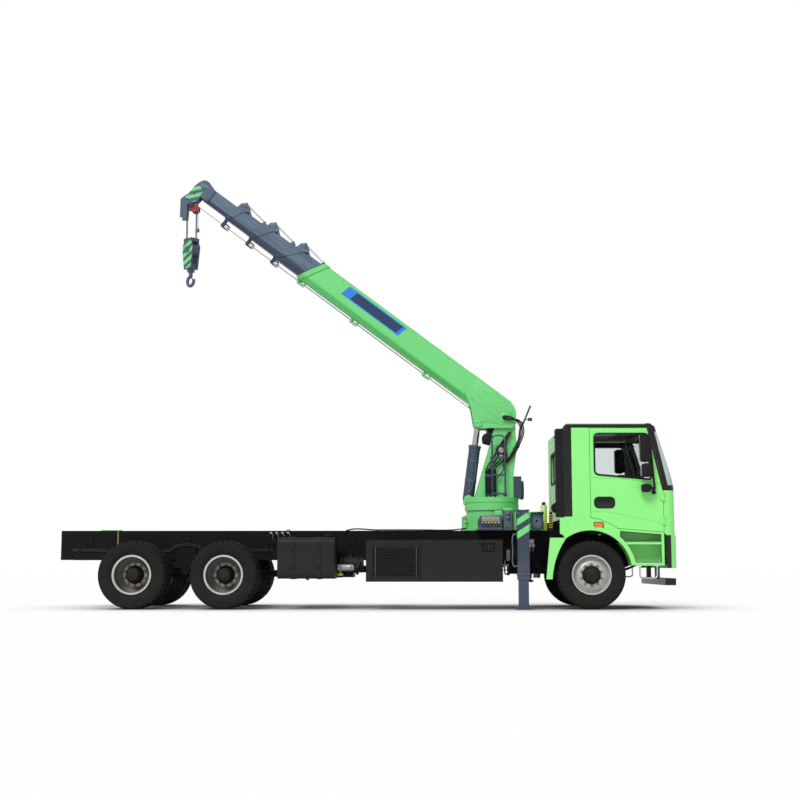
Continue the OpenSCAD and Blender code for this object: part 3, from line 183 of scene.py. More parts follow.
def make_paint_film():
    """Paint tone that drifts, road dust that thickens downwards, and the film's fine ripple."""
    w, given, out = new_group(
        "paint_film",
        (("Paint", "colour"), ("Dust", "colour"), ("Drift", "value"), ("Dust Share", "value"),
         ("Dust Top", "value"), ("Gloss", "value"), ("Ripple", "value")),
        (("Color", "colour"), ("Roughness", "value"), ("Height", "value")))
    place = w.where()
    z = w.axes(place)[2]
    broad = w.noise(place, 1.7, 5)
    patch = w.noise(place, 11, 8, 0.68)
    fine = w.noise(place, 95, 3, 0.6)
    drift = w.calc("MULTIPLY_ADD", w.calc("SUBTRACT", broad, 0.5), given["Drift"], 1.0)
    tone = w.add("HueSaturation", {"Color": given["Paint"], "Value": drift}).outputs["Color"]
    fall = w.ramp(z, given["Dust Top"], 0.25)
    speck = w.ramp(w.calc("MULTIPLY", patch, w.calc("ADD", fine, 0.5)), 0.30, 0.72)
    dust = w.calc("MULTIPLY", w.calc("MULTIPLY", fall, speck), given["Dust Share"])
    dust = w.calc("MULTIPLY_ADD", w.calc("MULTIPLY", w.ramp(patch, 0.55, 0.85), given["Dust Share"]), 0.16,
                  dust)
    w.put(out["Color"], w.blend(dust, tone, given["Dust"]))
    rough = w.calc("MULTIPLY_ADD", w.calc("SUBTRACT", patch, 0.5), 0.16, given["Gloss"])
    w.put(out["Roughness"], w.calc("MULTIPLY_ADD", dust, 0.5, rough))
    ripple = w.noise(place, 260, 1)
    w.put(out["Height"], w.calc("MULTIPLY_ADD", ripple, given["Ripple"], w.calc("MULTIPLY", dust, 0.25)))


def make_worn_edges():
    """Softened corners, and a patchy mask of the corners that rub bare."""
    w, given, out = new_group(
        "worn_edges", (("Radius", "value"), ("Patch Scale", "value")),
        (("Mask", "value"), ("Normal", "vector")))
    soft = w.add("Bevel", {"Radius": given["Radius"]}, samples=4).outputs["Normal"]
    hard = w.add("NewGeometry").outputs["Normal"]
    turn = w.add("VectorMath", operation="DOT_PRODUCT")
    w.put(turn.inputs[0], soft)
    w.put(turn.inputs[1], hard)
    corner = w.ramp(turn.outputs["Value"], 0.985, 0.90)
    patch = w.ramp(w.noise(w.where(), given["Patch Scale"], 6, 0.7), 0.50, 0.62)
    w.put(out["Mask"], w.calc("MULTIPLY", corner, patch))
    w.put(out["Normal"], soft)


def make_slanted_bands():
    """Even bands square to a direction: 1 inside a band."""
    w, given, out = new_group(
        "slanted_bands", (("Direction", "vector"), ("Start", "value"), ("Pitch", "value"),
                          ("Share", "value")),
        (("Mask", "value"),))
    along = w.add("VectorMath", operation="DOT_PRODUCT")
    w.put(along.inputs[0], w.where())
    w.put(along.inputs[1], given["Direction"])
    step = w.calc("DIVIDE", w.calc("SUBTRACT", along.outputs["Value"], given["Start"]), given["Pitch"])
    w.put(out["Mask"], w.below(w.calc("FRACT", step), given["Share"]))


def make_window():
    """1 where a coordinate lies between two values."""
    w, given, out = new_group(
        "between", (("Value", "value"), ("Low", "value"), ("High", "value")), (("Mask", "value"),))
    over = w.above(given["Value"], given["Low"])
    w.put(out["Mask"], w.calc("MULTIPLY", over, w.below(given["Value"], given["High"])))


make_paint_film()
make_worn_edges()
make_slanted_bands()
make_window()

DUST = (0.30, 0.27, 0.22, 1)
BARE = (0.42, 0.42, 0.41, 1)
CAB_GREEN = (0.250, 0.80, 0.205, 1)
CRANE_GREEN = (0.150, 0.60, 0.185, 1)
SLATE = (0.070, 0.095, 0.145, 1)
TRIM_BLACK = (0.007, 0.007, 0.008, 1)
# Softness of the edge of the painted shade on the boom's lower faces
UNDERSIDE_SHADE_FADE = 0.012


def between(w, value, low, high):
    """Mask of the places where a value lies between two limits."""
    return grouped(w, "between", {"Value": value, "Low": low, "High": high})["Mask"]


def all_of(w, *masks):
    """Where every mask holds."""
    product = masks[0]
    for mask in masks[1:]:
        product = w.calc("MULTIPLY", product, mask)
    return product


def any_of(w, *masks):
    """Where at least one mask holds."""
    joined = masks[0]
    for mask in masks[1:]:
        joined = w.calc("MAXIMUM", joined, mask)
    return joined


# Finishes

def new_material(name):
    """An empty material; returns it with its wiring and its shader's inputs."""
    material = bpy.data.materials.new(name)
    material.use_nodes = True
    return material, Wiring(material.node_tree), material.node_tree.nodes["Principled BSDF"].inputs


def coated(name, paint, gloss=0.35, drift=0.10, dust=0.35, dust_top=1.9, ripple=0.5, bump=0.06, wear=0.5,
           edge=0.006, coat=0.0, metallic=0.0, specular=0.5, bare=BARE, dust_colour=DUST, over=None):
    """A painted finish. over(wiring, axes) may give (mask, colour, roughness) layers on top of the paint."""
    material, w, inputs = new_material(name)
    film = grouped(w, "paint_film", {"Paint": paint, "Dust": dust_colour, "Drift": drift, "Dust Share": dust,
                                     "Dust Top": dust_top, "Gloss": gloss, "Ripple": ripple})
    edges = grouped(w, "worn_edges", {"Radius": edge, "Patch Scale": 7.0})
    colour, rough = film["Color"], film["Roughness"]
    if over:
        for mask, tint, finish in over(w, w.axes(w.where())):
            colour = w.blend(mask, colour, tint)
            rough = w.lerp(mask, rough, finish)
    worn = w.calc("MULTIPLY", edges["Mask"], wear)
    w.put(inputs["Base Color"], w.blend(worn, colour, bare))
    w.put(inputs["Roughness"], rough)
    inputs["Metallic"].default_value = metallic
    inputs["Coat Weight"].default_value = coat
    inputs["Specular IOR Level"].default_value = specular
    inputs["Coat Roughness"].default_value = 0.12
    relief = w.add("Bump", {"Strength": bump, "Distance": 0.004, "Height": film["Height"],
                            "Normal": edges["Normal"]})
    w.put(inputs["Normal"], relief.outputs["Normal"])
    return material


def screen_line(w, axes):
    """Distance ahead of the black band along the windscreen pillar."""
    x, _, z = axes
    return w.calc("SUBTRACT", w.calc("MULTIPLY_ADD", w.calc("SUBTRACT", z, 1.852), 0.2288, x), 4.570)


def cab_trim(w, axes):
    """Black roof edge, screen pillars and rear corner strip, and the dark lining inside the cab."""
    x, y, z = axes
    away = w.size(y)
    ahead = screen_line(w, axes)
    pillar = all_of(w, w.above(ahead, 0.0), w.above(z, 1.80))
    corner = all_of(w, w.above(ahead, 0.105), between(w, z, 1.88, 2.70), w.above(away, 0.99))
    edge = all_of(w, w.above(away, 1.185), between(w, z, 2.762, 2.818))
    strip = all_of(w, w.below(y, -1.185), w.below(x, 3.209), between(w, z, 1.402, 2.79))
    lining = all_of(w, w.below(away, 1.165), between(w, x, 3.125, 4.70), w.below(z, 2.795))
    return ((lining, (0.055, 0.055, 0.06, 1), 0.8), (any_of(w, pillar, edge, strip), TRIM_BLACK, 0.38),
            (corner, (0.40, 0.46, 0.45, 1), 0.08))


def bumper_trim(w, axes):
    """Black lower edge, inner side, air mouth and rear ends of the bumper."""
    x, y, z = axes
    away = w.size(y)
    low = w.below(z, 0.60)
    inner = all_of(w, w.below(x, 4.755), w.below(away, 1.0))
    mouth = all_of(w, between(w, z, 0.683, 0.795), w.below(away, 0.561))
    rear = all_of(w, w.below(x, 4.70), w.above(away, 1.15))
    return ((any_of(w, low, inner, mouth, rear), TRIM_BLACK, 0.5),)


def fender_trim(w, axes):
    """The dark liner inside the wheel arch."""
    x, y, _ = axes
    liner = all_of(w, w.below(w.size(y), 1.158), w.below(x, 3.92))
    return ((liner, (0.018, 0.018, 0.018, 1), 0.75),)


def door_trim(w, axes):
    """The door's lining, the pocket behind its handle and the foot of the screen pillar, all dark."""
    x, y, z = axes
    away = w.size(y)
    inside = w.below(away, 1.146)
    pocket = all_of(w, between(w, away, 1.10, 1.197), between(w, x, 3.548, 3.852),
                    between(w, z, 1.534, 1.698))
    pillar = all_of(w, w.above(screen_line(w, axes), 0.0), w.above(z, 1.80))
    return ((any_of(w, inside, pocket, pillar), (0.016, 0.016, 0.017, 1), 0.5),)


def grille_trim(w, axes):
    """The black slots of the grille."""
    x, y, z = axes
    slots = all_of(w, w.below(w.size(y), 0.622), between(w, z, 1.20, 1.555),
                   between(w, x, 4.70, 4.7835))
    return ((slots, TRIM_BLACK, 0.5),)


def along_boom(w, axes):
    """Reach along the boom from its pivot and height square to it."""
    back, up = w.calc("SUBTRACT", axes[0], PIVOT.x), w.calc("SUBTRACT", axes[2], PIVOT.z)
    reach = w.calc("MULTIPLY_ADD", back, -math.cos(BOOM_ANGLE), w.calc("MULTIPLY", up, math.sin(BOOM_ANGLE)))
    rise = w.calc("MULTIPLY_ADD", back, math.sin(BOOM_ANGLE), w.calc("MULTIPLY", up, math.cos(BOOM_ANGLE)))
    return reach, rise


def painted_underside_shade(w, rise, line, tint):
    """Painted shade on a boom section's faces below a line along it, the faces that turn away from the light.
    """
    return (w.ramp(rise, line + UNDERSIDE_SHADE_FADE, line - UNDERSIDE_SHADE_FADE), tint, 0.40)


def section_painted_light(w, axes):
    """Long darker streaks along the inner sections, painted in place of uneven reflections in their gloss,
    and painted shade on their lower faces.
    """
    reach, rise = along_boom(w, axes)
    drawn = w.add("CombineXYZ", {"X": reach, "Y": w.calc("MULTIPLY", axes[1], 9.0),
                                 "Z": w.calc("MULTIPLY", rise, 14.0)}).outputs["Vector"]
    # Painted reflection streaks: darker noise stretched along the boom
    reflection_streak = w.ramp(w.noise(drawn, 1.3, 5), 0.42, 0.62, 0.0, 0.75)
    return ((reflection_streak, (0.058, 0.092, 0.145, 1), 0.30), painted_underside_shade(w, rise, 0.0, (0.019, 0.038, 0.078, 1)))


def boom_panel(w, axes):
    """A plain dark panel with bright borders on the main boom's sides, and painted shade on the main boom's
    lower faces beyond its root.
    """
    reach, rise = along_boom(w, axes)
    side = w.above(w.size(axes[1]), 0.1695)
    slant = w.calc("MULTIPLY_ADD", rise, 0.25, reach)
    border = all_of(w, side, between(w, slant, 2.20, 3.37), between(w, rise, 0.045, 0.232))
    field = all_of(w, side, between(w, slant, 2.26, 3.20), between(w, rise, 0.064, 0.213))
    # Painted shade: darker green on the main boom's lower faces
    shade, tint, finish = painted_underside_shade(w, rise, -0.055, (0.100, 0.515, 0.130, 1))
    straight = w.ramp(reach, 0.66, 0.80)
    return ((border, (0.022, 0.20, 0.60, 1), 0.35), (field, (0.016, 0.035, 0.10, 1), 0.35),
            (all_of(w, shade, straight), tint, finish))


def head_bands(w, axes):
    """Green slanting bands on the boom head's nose."""
    bands = grouped(w, "slanted_bands", {"Direction": (-0.22, 0.0, 0.975), "Start": 7.20, "Pitch": 0.115,
                                         "Share": 0.48})["Mask"]
    reach, rise = along_boom(w, axes)
    nose = all_of(w, w.above(w.size(axes[1]), 0.1135), between(w, reach, HEAD_U + 0.055, HEAD_U + 0.24),
                  between(w, rise, -0.200, 0.170))
    return ((all_of(w, bands, nose), CRANE_GREEN, 0.4),)


def block_bands(w, axes):
    """Green slanting bands on the hook block's cheeks."""
    bands = grouped(w, "slanted_bands", {"Direction": (-0.341, 0.286, 0.895), "Start": 0.03, "Pitch": 0.118,
                                         "Share": 0.52})["Mask"]
    x, y, z = axes
    across = w.size(w.calc("MULTIPLY_ADD", w.calc("SUBTRACT", x, HOOK.x), 0.643,
                                     w.calc("MULTIPLY", y, 0.766)))
    cheek = all_of(w, w.above(across, 0.0835), between(w, z, 5.555, 6.005))
    return ((all_of(w, bands, cheek), CRANE_GREEN, 0.4),)


def dish_painted_shade(w, axes):
    """Painted shade deep in the rear wheels' recessed dish, lighter on the face that carries the nuts."""
    x, y, z = axes
    middle, half = sum(REAR_X) / 2, (REAR_X[0] - REAR_X[1]) / 2
    along = w.calc("SUBTRACT", w.size(w.calc("SUBTRACT", x, middle)), half)
    up = w.calc("SUBTRACT", z, AXLE_Z)
    radius = w.calc("SQRT", w.calc("MULTIPLY_ADD", along, along, w.calc("MULTIPLY", up, up)))
    # Painted shade: darker the deeper into the dish
    depth = w.ramp(w.size(y), 1.190, 1.100)
    share = w.calc("MULTIPLY", depth, w.ramp(radius, 0.178, 0.192, 0.22, 0.84))
    return ((share, (0.055, 0.053, 0.050, 1), 0.6),)


def leg_bands(w, axes):
    """Two green slanting bands on the outer face of the jack boxes."""
    x, y, z = axes
    level = w.calc("MULTIPLY_ADD", w.calc("SUBTRACT", x, BEAM_X[-1]), -0.65, z)
    face = w.above(w.size(y), 1.066)
    bands = any_of(w, between(w, level, 1.325, 1.425), between(w, level, 1.125, 1.230))
    return ((all_of(w, face, bands), CRANE_GREEN, 0.4),)


CAB_COAT = {"specular": 0.25, "gloss": 0.24, "drift": 0.10, "dust": 0.10, "dust_top": 1.5, "bump": 0.03,
            "wear": 0.15, "coat": 0.35}
ROAD_COAT = CAB_COAT | {"gloss": 0.27, "wear": 0.2, "coat": 0.3}
CRANE_COAT = {"gloss": 0.33, "drift": 0.16, "dust_top": 2.2, "bump": 0.06, "wear": 0.45}
RIM_COAT = {"gloss": 0.40, "drift": 0.25, "dust": 0.40, "dust_top": 1.3, "bump": 0.08, "wear": 0.2,
            "metallic": 0.35, "bare": (0.25, 0.21, 0.17, 1), "dust_colour": (0.16, 0.14, 0.115, 1)}
RIM_SILVER = (0.54, 0.54, 0.52, 1)

# Solids take their finish by its name; a finish that pieces use too has a variable.
cab_green = coated("cab_green", CAB_GREEN, **CAB_COAT, over=cab_trim)
coated("cab_front_green", CAB_GREEN, **CAB_COAT | {"dust": 0.12}, over=grille_trim)
door_green = coated("door_green", CAB_GREEN, **CAB_COAT | {"dust_top": 1.6}, over=door_trim)
fender_green = coated("fender_green", CAB_GREEN, **ROAD_COAT | {"dust": 0.22, "dust_top": 1.4},
                      over=fender_trim)
coated("bumper_green", CAB_GREEN, **ROAD_COAT | {"dust": 0.25, "dust_top": 1.2}, over=bumper_trim)
crane_green = coated("crane_green", CRANE_GREEN, **CRANE_COAT, dust=0.16)
coated("boom_green", CRANE_GREEN, **CRANE_COAT, dust=0.14, over=boom_panel)
slate_paint = coated("slate_paint", SLATE, gloss=0.36, drift=0.35, dust=0.22, dust_top=1.9, bump=0.07,
                     wear=0.6)
# boom_slate carries painted reflection streaks and painted shade on the sections' lower faces; its base is
# the sections' lit upper tone
boom_slate = coated("boom_slate", (0.102, 0.150, 0.214, 1), gloss=0.32, drift=0.45, dust=0.15, bump=0.07,
                    wear=0.6, over=section_painted_light)
coated("head_slate", (0.075, 0.105, 0.155, 1), gloss=0.36, drift=0.3, dust=0.15, wear=0.6,
       over=head_bands)
coated("block_slate", (0.065, 0.088, 0.130, 1), gloss=0.38, drift=0.3, dust=0.10, wear=0.15,
       over=block_bands)
leg_slate = coated("leg_slate", (0.036, 0.050, 0.076, 1), specular=0.3, gloss=0.40, drift=0.3, dust=0.3,
                   dust_top=0.9, wear=0.6, over=leg_bands)
frame_black = coated("frame_black", (0.006, 0.006, 0.006, 1), specular=0.10, gloss=0.50, drift=0.5, dust=0.07,
                     dust_top=1.1, bump=0.10, wear=0.35, bare=(0.09, 0.085, 0.08, 1),
                     dust_colour=(0.09, 0.08, 0.065, 1))
cover_black = coated("cover_black", (0.014, 0.014, 0.014, 1), specular=0.16, gloss=0.52, drift=0.4, dust=0.10,
                     dust_top=1.0, bump=0.14, wear=0.35, bare=(0.10, 0.10, 0.095, 1),
                     dust_colour=(0.11, 0.10, 0.085, 1))
moulded_black = coated("moulded_black", (0.010, 0.010, 0.011, 1), specular=0.16, gloss=0.62, drift=0.4,
                       dust=0.12, ripple=1.6, bump=0.22, wear=0.2, bare=(0.05, 0.05, 0.05, 1),
                       dust_colour=(0.12, 0.11, 0.09, 1))
coated("wheel_silver", RIM_SILVER, **RIM_COAT)
coated("rear_silver", RIM_SILVER, **RIM_COAT, over=dish_painted_shade)
rod_chrome = coated("rod_chrome", (0.66, 0.67, 0.69, 1), gloss=0.14, drift=0.12, dust=0.05, bump=0.02,
                    wear=0.0, metallic=0.9)
bright_steel = coated("bright_steel", (0.38, 0.38, 0.37, 1), gloss=0.30, drift=0.3, dust=0.2, bump=0.05,
                      wear=0.2, metallic=0.8)
nut_brass = coated("nut_brass", (0.30, 0.20, 0.075, 1), gloss=0.50, drift=0.5, dust=0.35, dust_top=1.3,
                   wear=0.3, metallic=0.5)
sheave_red = coated("sheave_red", (0.28, 0.030, 0.026, 1), gloss=0.45, drift=0.3, dust=0.12, wear=0.4)
lamp_orange = coated("lamp_orange", (0.66, 0.20, 0.008, 1), gloss=0.18, drift=0.25, dust=0.1, wear=0.0,
                     coat=0.5)
knob_yellow = coated("knob_yellow", (0.70, 0.50, 0.03, 1), gloss=0.4, drift=0.2, dust=0.2, wear=0.1)
seat_cloth = coated("seat_cloth", (0.035, 0.036, 0.040, 1), gloss=0.85, drift=0.4, dust=0.1, ripple=3.0,
                    bump=0.5, wear=0.0, bare=(0.05, 0.05, 0.05, 1))
hose_rubber = coated("hose_rubber", (0.012, 0.012, 0.013, 1), specular=0.22, gloss=0.5, drift=0.3, dust=0.2,
                     ripple=1.0, bump=0.15, wear=0.1, bare=(0.05, 0.05, 0.05, 1))
tail_red = coated("tail_red", (0.30, 0.010, 0.012, 1), gloss=0.15, drift=0.25, dust=0.25, wear=0.0, coat=0.5)
lamp_bowl = coated("lamp_bowl", (0.70, 0.71, 0.73, 1), gloss=0.12, drift=0.1, dust=0.05, wear=0.0,
                   metallic=0.9)


def make_tyre_rubber():
    """Matt rubber with road dust low down and a fine grain."""
    material, w, inputs = new_material("tyre_rubber")
    place = w.where()
    film = grouped(w, "paint_film", {"Paint": (0.0085, 0.0082, 0.0078, 1), "Dust": (0.045, 0.040, 0.032, 1),
                                     "Drift": 0.5, "Dust Share": 0.30, "Dust Top": 1.25, "Gloss": 0.72,
                                     "Ripple": 1.0})
    grain = w.noise(place, 320, 2)
    w.put(inputs["Base Color"], film["Color"])
    w.put(inputs["Roughness"], film["Roughness"])
    inputs["Specular IOR Level"].default_value = 0.15
    relief = w.add("Bump", {"Strength": 0.25, "Distance": 0.004,
                            "Height": w.calc("MULTIPLY_ADD", grain, 0.5, film["Height"])})
    w.put(inputs["Normal"], relief.outputs["Normal"])
    return material


def make_glass(name, tint, dust):
    """Thin tinted glass with a light film of dust."""
    material, w, inputs = new_material(name)
    film = w.ramp(w.noise(w.where(), 6, 6, 0.6), 0.35, 0.8, 0.0, dust)
    w.put(inputs["Base Color"], w.blend(film, tint, (0.5, 0.48, 0.44, 1)))
    w.put(inputs["Roughness"], w.calc("ADD", film, 0.02))
    inputs["Transmission Weight"].default_value = 1.0
    inputs["IOR"].default_value = 1.08
    return material


def make_coolant():
    """Cloudy bottle with yellow-green liquid below its fill line, and its black cap and posts."""
    material, w, inputs = new_material("coolant_bottle")
    place = w.where()
    x, _, z = w.axes(place)
    cloud = w.noise(place, 9, 5)
    liquid = w.blend(cloud, (0.45, 0.72, 0.05, 1), (0.60, 0.80, 0.12, 1))
    empty = w.blend(cloud, (0.62, 0.74, 0.30, 1), (0.72, 0.80, 0.42, 1))
    bottle = w.blend(w.ramp(z, 1.50, 1.53), liquid, empty)
    black = w.blend(cloud, (0.012, 0.012, 0.012, 1), (0.03, 0.03, 0.03, 1))
    fittings = any_of(w, w.above(z, DECK + 0.402), w.above(x, 2.918))
    w.put(inputs["Base Color"], w.blend(fittings, bottle, black))
    w.put(inputs["Roughness"], w.ramp(cloud, 0.2, 0.8, 0.28, 0.42))
    return material


def make_wire_rope():
    """Laid strands: slanting ridges along the rope."""
    material, w, inputs = new_material("wire_rope")
    place = w.where()
    strand = w.add("TexWave", {"Vector": place, "Scale": 26.0, "Distortion": 1.2, "Detail": 1.0},
                   bands_direction="DIAGONAL")
    lay = strand.outputs["Fac"]
    w.put(inputs["Base Color"], w.blend(lay, (0.22, 0.23, 0.25, 1), (0.50, 0.52, 0.55, 1)))
    w.put(inputs["Roughness"], w.ramp(lay, 0.0, 1.0, 0.6, 0.35))
    inputs["Metallic"].default_value = 0.25
    relief = w.add("Bump", {"Strength": 0.4, "Distance": 0.002, "Height": lay})
    w.put(inputs["Normal"], relief.outputs["Normal"])
    return material


tyre_rubber = make_tyre_rubber()
make_glass("screen_glass", (0.86, 0.90, 0.88, 1), 0.03)
make_glass("side_glass", (0.80, 0.84, 0.83, 1), 0.03)
lamp_glass = make_glass("lamp_glass", (0.95, 0.96, 0.96, 1), 0.02)
make_coolant()
wire_rope = make_wire_rope()


# Floor and light

def make_floor():
    """A pale floor that shows white in the open, keeps the real shadow, and has a painted contact shadow
    under the truck.
    """
    plane = bmesh.new()
    bmesh.ops.create_circle(plane, cap_ends=True, segments=64, radius=160)
    mesh = bpy.data.meshes.new("floor")
    plane.to_mesh(mesh)
    plane.free()
    floor = bpy.data.objects.new("floor", mesh)
    scene.collection.objects.link(floor)
    material, w, inputs = new_material("pale_floor")
    nodes_here = material.node_tree.nodes
    inputs["Base Color"].default_value = (0.90, 0.90, 0.90, 1)
    inputs["Roughness"].default_value = 0.9
    inputs["Specular IOR Level"].default_value = 0.0
    path = w.add("LightPath")
    seen = any_of(w, *(path.outputs["Is %s Ray" % kind] for kind in ("Camera", "Glossy", "Transmission")))
    # Painted contact shadow: seen directly, the floor's white glow dims with ambient occlusion near the truck
    open_sky = w.add("AmbientOcclusion", {"Distance": 1.8}).outputs["AO"]
    strength = w.ramp(open_sky, 0.30, 0.95, 0.02, 1.0)
    white = w.add("Emission", {"Color": (1, 1, 1, 1), "Strength": strength}).outputs[0]
    mix = w.add("MixShader", {"Fac": w.calc("MULTIPLY", seen, 0.75)})
    w.put(mix.inputs[1], nodes_here["Principled BSDF"].outputs[0])
    w.put(mix.inputs[2], white)
    w.put(nodes_here["Material Output"].inputs["Surface"], mix.outputs[0])
    mesh.materials.append(material)


def make_light():
    """Even white surroundings and one soft sun from the camera's side."""
    world = bpy.data.worlds.new("studio")
    scene.world = world
    world.use_nodes = True
    tree = world.node_tree
    w = Wiring(tree)
    path = w.add("LightPath")
    seen = any_of(w, *(path.outputs["Is %s Ray" % kind] for kind in ("Camera", "Transmission")))
    sky = tree.nodes["Background"]
    sky.inputs["Color"].default_value = (1, 1, 1, 1)
    sky.inputs["Strength"].default_value = 0.55
    white = w.add("Background", {"Color": (1, 1, 1, 1), "Strength": 1.0})
    mix = w.add("MixShader", {"Fac": seen})
    w.put(mix.inputs[1], sky.outputs[0])
    w.put(mix.inputs[2], white.outputs[0])
    w.put(tree.nodes["World Output"].inputs["Surface"], mix.outputs[0])
    sun_data = bpy.data.lights.new("soft_sun", "SUN")
    sun_data.energy = 2.3
    sun_data.angle = math.radians(24)
    sun = bpy.data.objects.new("soft_sun", sun_data)
    sun.rotation_euler = Vector((-0.30, -0.62, 0.72)).to_track_quat("Z", "Y").to_euler()
    scene.collection.objects.link(sun)


make_floor()
make_light()


# Shapes

def finish_piece(name, bm, material, body="chassis", smooth=True, stands_for=()):
    """Makes a shape into a piece: its finish, its body and the nodes that it replaces."""
    bmesh.ops.recalc_face_normals(bm, faces=bm.faces)
    mesh = bpy.data.meshes.new(name)
    bm.to_mesh(mesh)
    bm.free()
    if smooth:
        mesh.shade_smooth()
        mesh.set_sharp_from_angle(angle=math.radians(38))
    mesh.materials.append(material)
    piece = bpy.data.objects.new(name, mesh)
    scene.collection.objects.link(piece)
    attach(piece, body)
    if stands_for:
        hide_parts(*stands_for)


def slab(bm, low, high, edge=0.004, segments=2, place=None):
    """A box between two corners with rounded edges."""
    low, high = Vector(low), Vector(high)
    made = bmesh.ops.create_cube(bm, size=1.0)
    scale = Matrix.Diagonal((*(high - low), 1))
    matrix = Matrix.Translation((low + high) / 2) @ scale
    bmesh.ops.transform(bm, matrix=matrix, verts=made["verts"])
    edges = list({e for v in made["verts"] for e in v.link_edges})
    verts = made["verts"]
    if edge:
        cut = bmesh.ops.bevel(bm, geom=edges, offset=edge, segments=segments, profile=0.5, affect="EDGES",
                              material=-1)
        verts = list({v for f in cut["faces"] for v in f.verts} | {v for v in verts if v.is_valid})
    if place:
        bmesh.ops.transform(bm, matrix=place, verts=verts)


def side_slab(bm, sign, x, away, z, edge=0.004, segments=2):
    """A slab on one side of the truck: spans in x and z, and distances from the middle."""
    low, high = sorted(sign * a for a in away)
    slab(bm, (x[0], low, z[0]), (x[1], high, z[1]), edge, segments)


def ribs_around(bm, centre, count, low, high, edge):
    """Upright ribs spread round a cap or a can."""
    for i in range(count):
        turn = Matrix.Rotation(math.tau * i / count, 4, "Z")
        slab(bm, low, high, edge, 1, place=Matrix.Translation(centre) @ turn)


def bar(bm, start, end, radius, sides=16):
    """A round or many-sided bar between two points."""
    start, end = Vector(start), Vector(end)
    line = end - start
    turn = line.to_track_quat("Z", "Y").to_matrix().to_4x4()
    bmesh.ops.create_cone(bm, cap_ends=True, segments=sides, radius1=radius, radius2=radius,
                          depth=line.length, matrix=Matrix.Translation((start + end) / 2) @ turn)


def lathe(bm, profile, centre, axis=(0, 1, 0), steps=48):
    """A profile of (distance along the axis, radius) turned all the way round."""
    axis = Vector(axis).normalized()
    out = axis.orthogonal().normalized()
    centre = Vector(centre)
    verts = [bm.verts.new(centre + axis * a + out * r) for a, r in profile]
    edges = [bm.edges.new(pair) for pair in zip(verts, verts[1:])]
    bmesh.ops.spin(bm, geom=verts + edges, cent=centre, axis=axis, angle=math.tau, steps=steps,
                   use_merge=True)
    poles = [v for v in bm.verts if (v.co - centre).cross(axis).length < 1e-6]
    bmesh.ops.remove_doubles(bm, verts=poles, dist=1e-6)


def pipe(bm, points, radius, sides=10, smooth=True, closed=False):
    """A hose or bent tube along points."""
    curve = bpy.data.curves.new("route", "CURVE")
    curve.dimensions = "3D"
    curve.bevel_depth = radius
    curve.bevel_resolution = max(1, (sides - 4) // 2)
    curve.use_fill_caps = True
    curve.resolution_u = 8
    spline = curve.splines.new("BEZIER" if smooth else "POLY")
    room = spline.bezier_points if smooth else spline.points
    room.add(len(points) - 1)
    for point, at in zip(room, points):
        if smooth:
            point.co = at
            point.handle_left_type = point.handle_right_type = "AUTO"
        else:
            point.co = (*at, 1)
    spline.use_cyclic_u = closed
    holder = bpy.data.objects.new("route", curve)
    mesh = bpy.data.meshes.new_from_object(holder)
    bm.from_mesh(mesh)
    bpy.data.objects.remove(holder)
    bpy.data.curves.remove(curve)
    bpy.data.meshes.remove(mesh)


def panel(bm, outline, thick, edge=0.0, segments=2):
    """A flat outline of points carried by thick, a vector, with its rim rounded on the far side."""
    verts = [bm.verts.new(p) for p in outline]
    face = bm.faces.new(verts)
    made = bmesh.ops.extrude_face_region(bm, geom=[face])
    far = [g for g in made["geom"] if isinstance(g, bmesh.types.BMVert)]
    bmesh.ops.translate(bm, vec=Vector(thick), verts=far)
    if edge:
        rim = [e for e in {e for v in far for e in v.link_edges} if all(v in far for v in e.verts)]
        bmesh.ops.bevel(bm, geom=rim, offset=edge, segments=segments, profile=0.5, affect="EDGES",
                        material=-1)


def around(centre, radius, count, axis="Y", start=0.0):
    """Points spread evenly round a centre, square to an axis; start is a share of one step."""
    spread = []
    for i in range(count):
        turn = math.tau * (i + start) / count
        across, up = radius * math.cos(turn), radius * math.sin(turn)
        offset = {"X": (0, across, up), "Y": (across, 0, up), "Z": (across, up, 0)}[axis]
        spread.append(Vector(centre) + Vector(offset))
    return spread


def rounded(points, radius, steps=5):
    """The corners of a flat outline rounded off."""
    turned = []
    count = len(points)
    for i, at in enumerate(points):
        at = Vector(at)
        to_last = (Vector(points[i - 1]) - at)
        to_next = (Vector(points[(i + 1) % count]) - at)
        cut = min(radius, to_last.length * 0.45, to_next.length * 0.45)
        a, b = at + to_last.normalized() * cut, at + to_next.normalized() * cut
        for step in range(steps + 1):
            t = step / steps
            turned.append((1 - t) ** 2 * a + 2 * t * (1 - t) * at + t * t * b)
    return turned


def frame_strip(bm, outline, width, out):
    """A raised border of one width just inside a flat outline; out is its thickness as a vector."""
    out = Vector(out)
    start = len(bm.verts)
    verts = [bm.verts.new(p) for p in outline]
    face = bm.faces.new(verts)
    face.normal_update()
    made = bmesh.ops.inset_region(bm, faces=[face], thickness=width, use_boundary=True, use_even_offset=True)
    bmesh.ops.delete(bm, geom=[face], context="FACES_ONLY")
    bmesh.ops.solidify(bm, geom=made["faces"], thickness=out.length)
    bm.verts.ensure_lookup_table()
    fresh = bm.verts[start:]
    level = Vector(outline[0]).dot(out.normalized())
    low = min(v.co.dot(out.normalized()) for v in fresh)
    bmesh.ops.translate(bm, vec=out.normalized() * (level - 0.001 - low), verts=fresh)


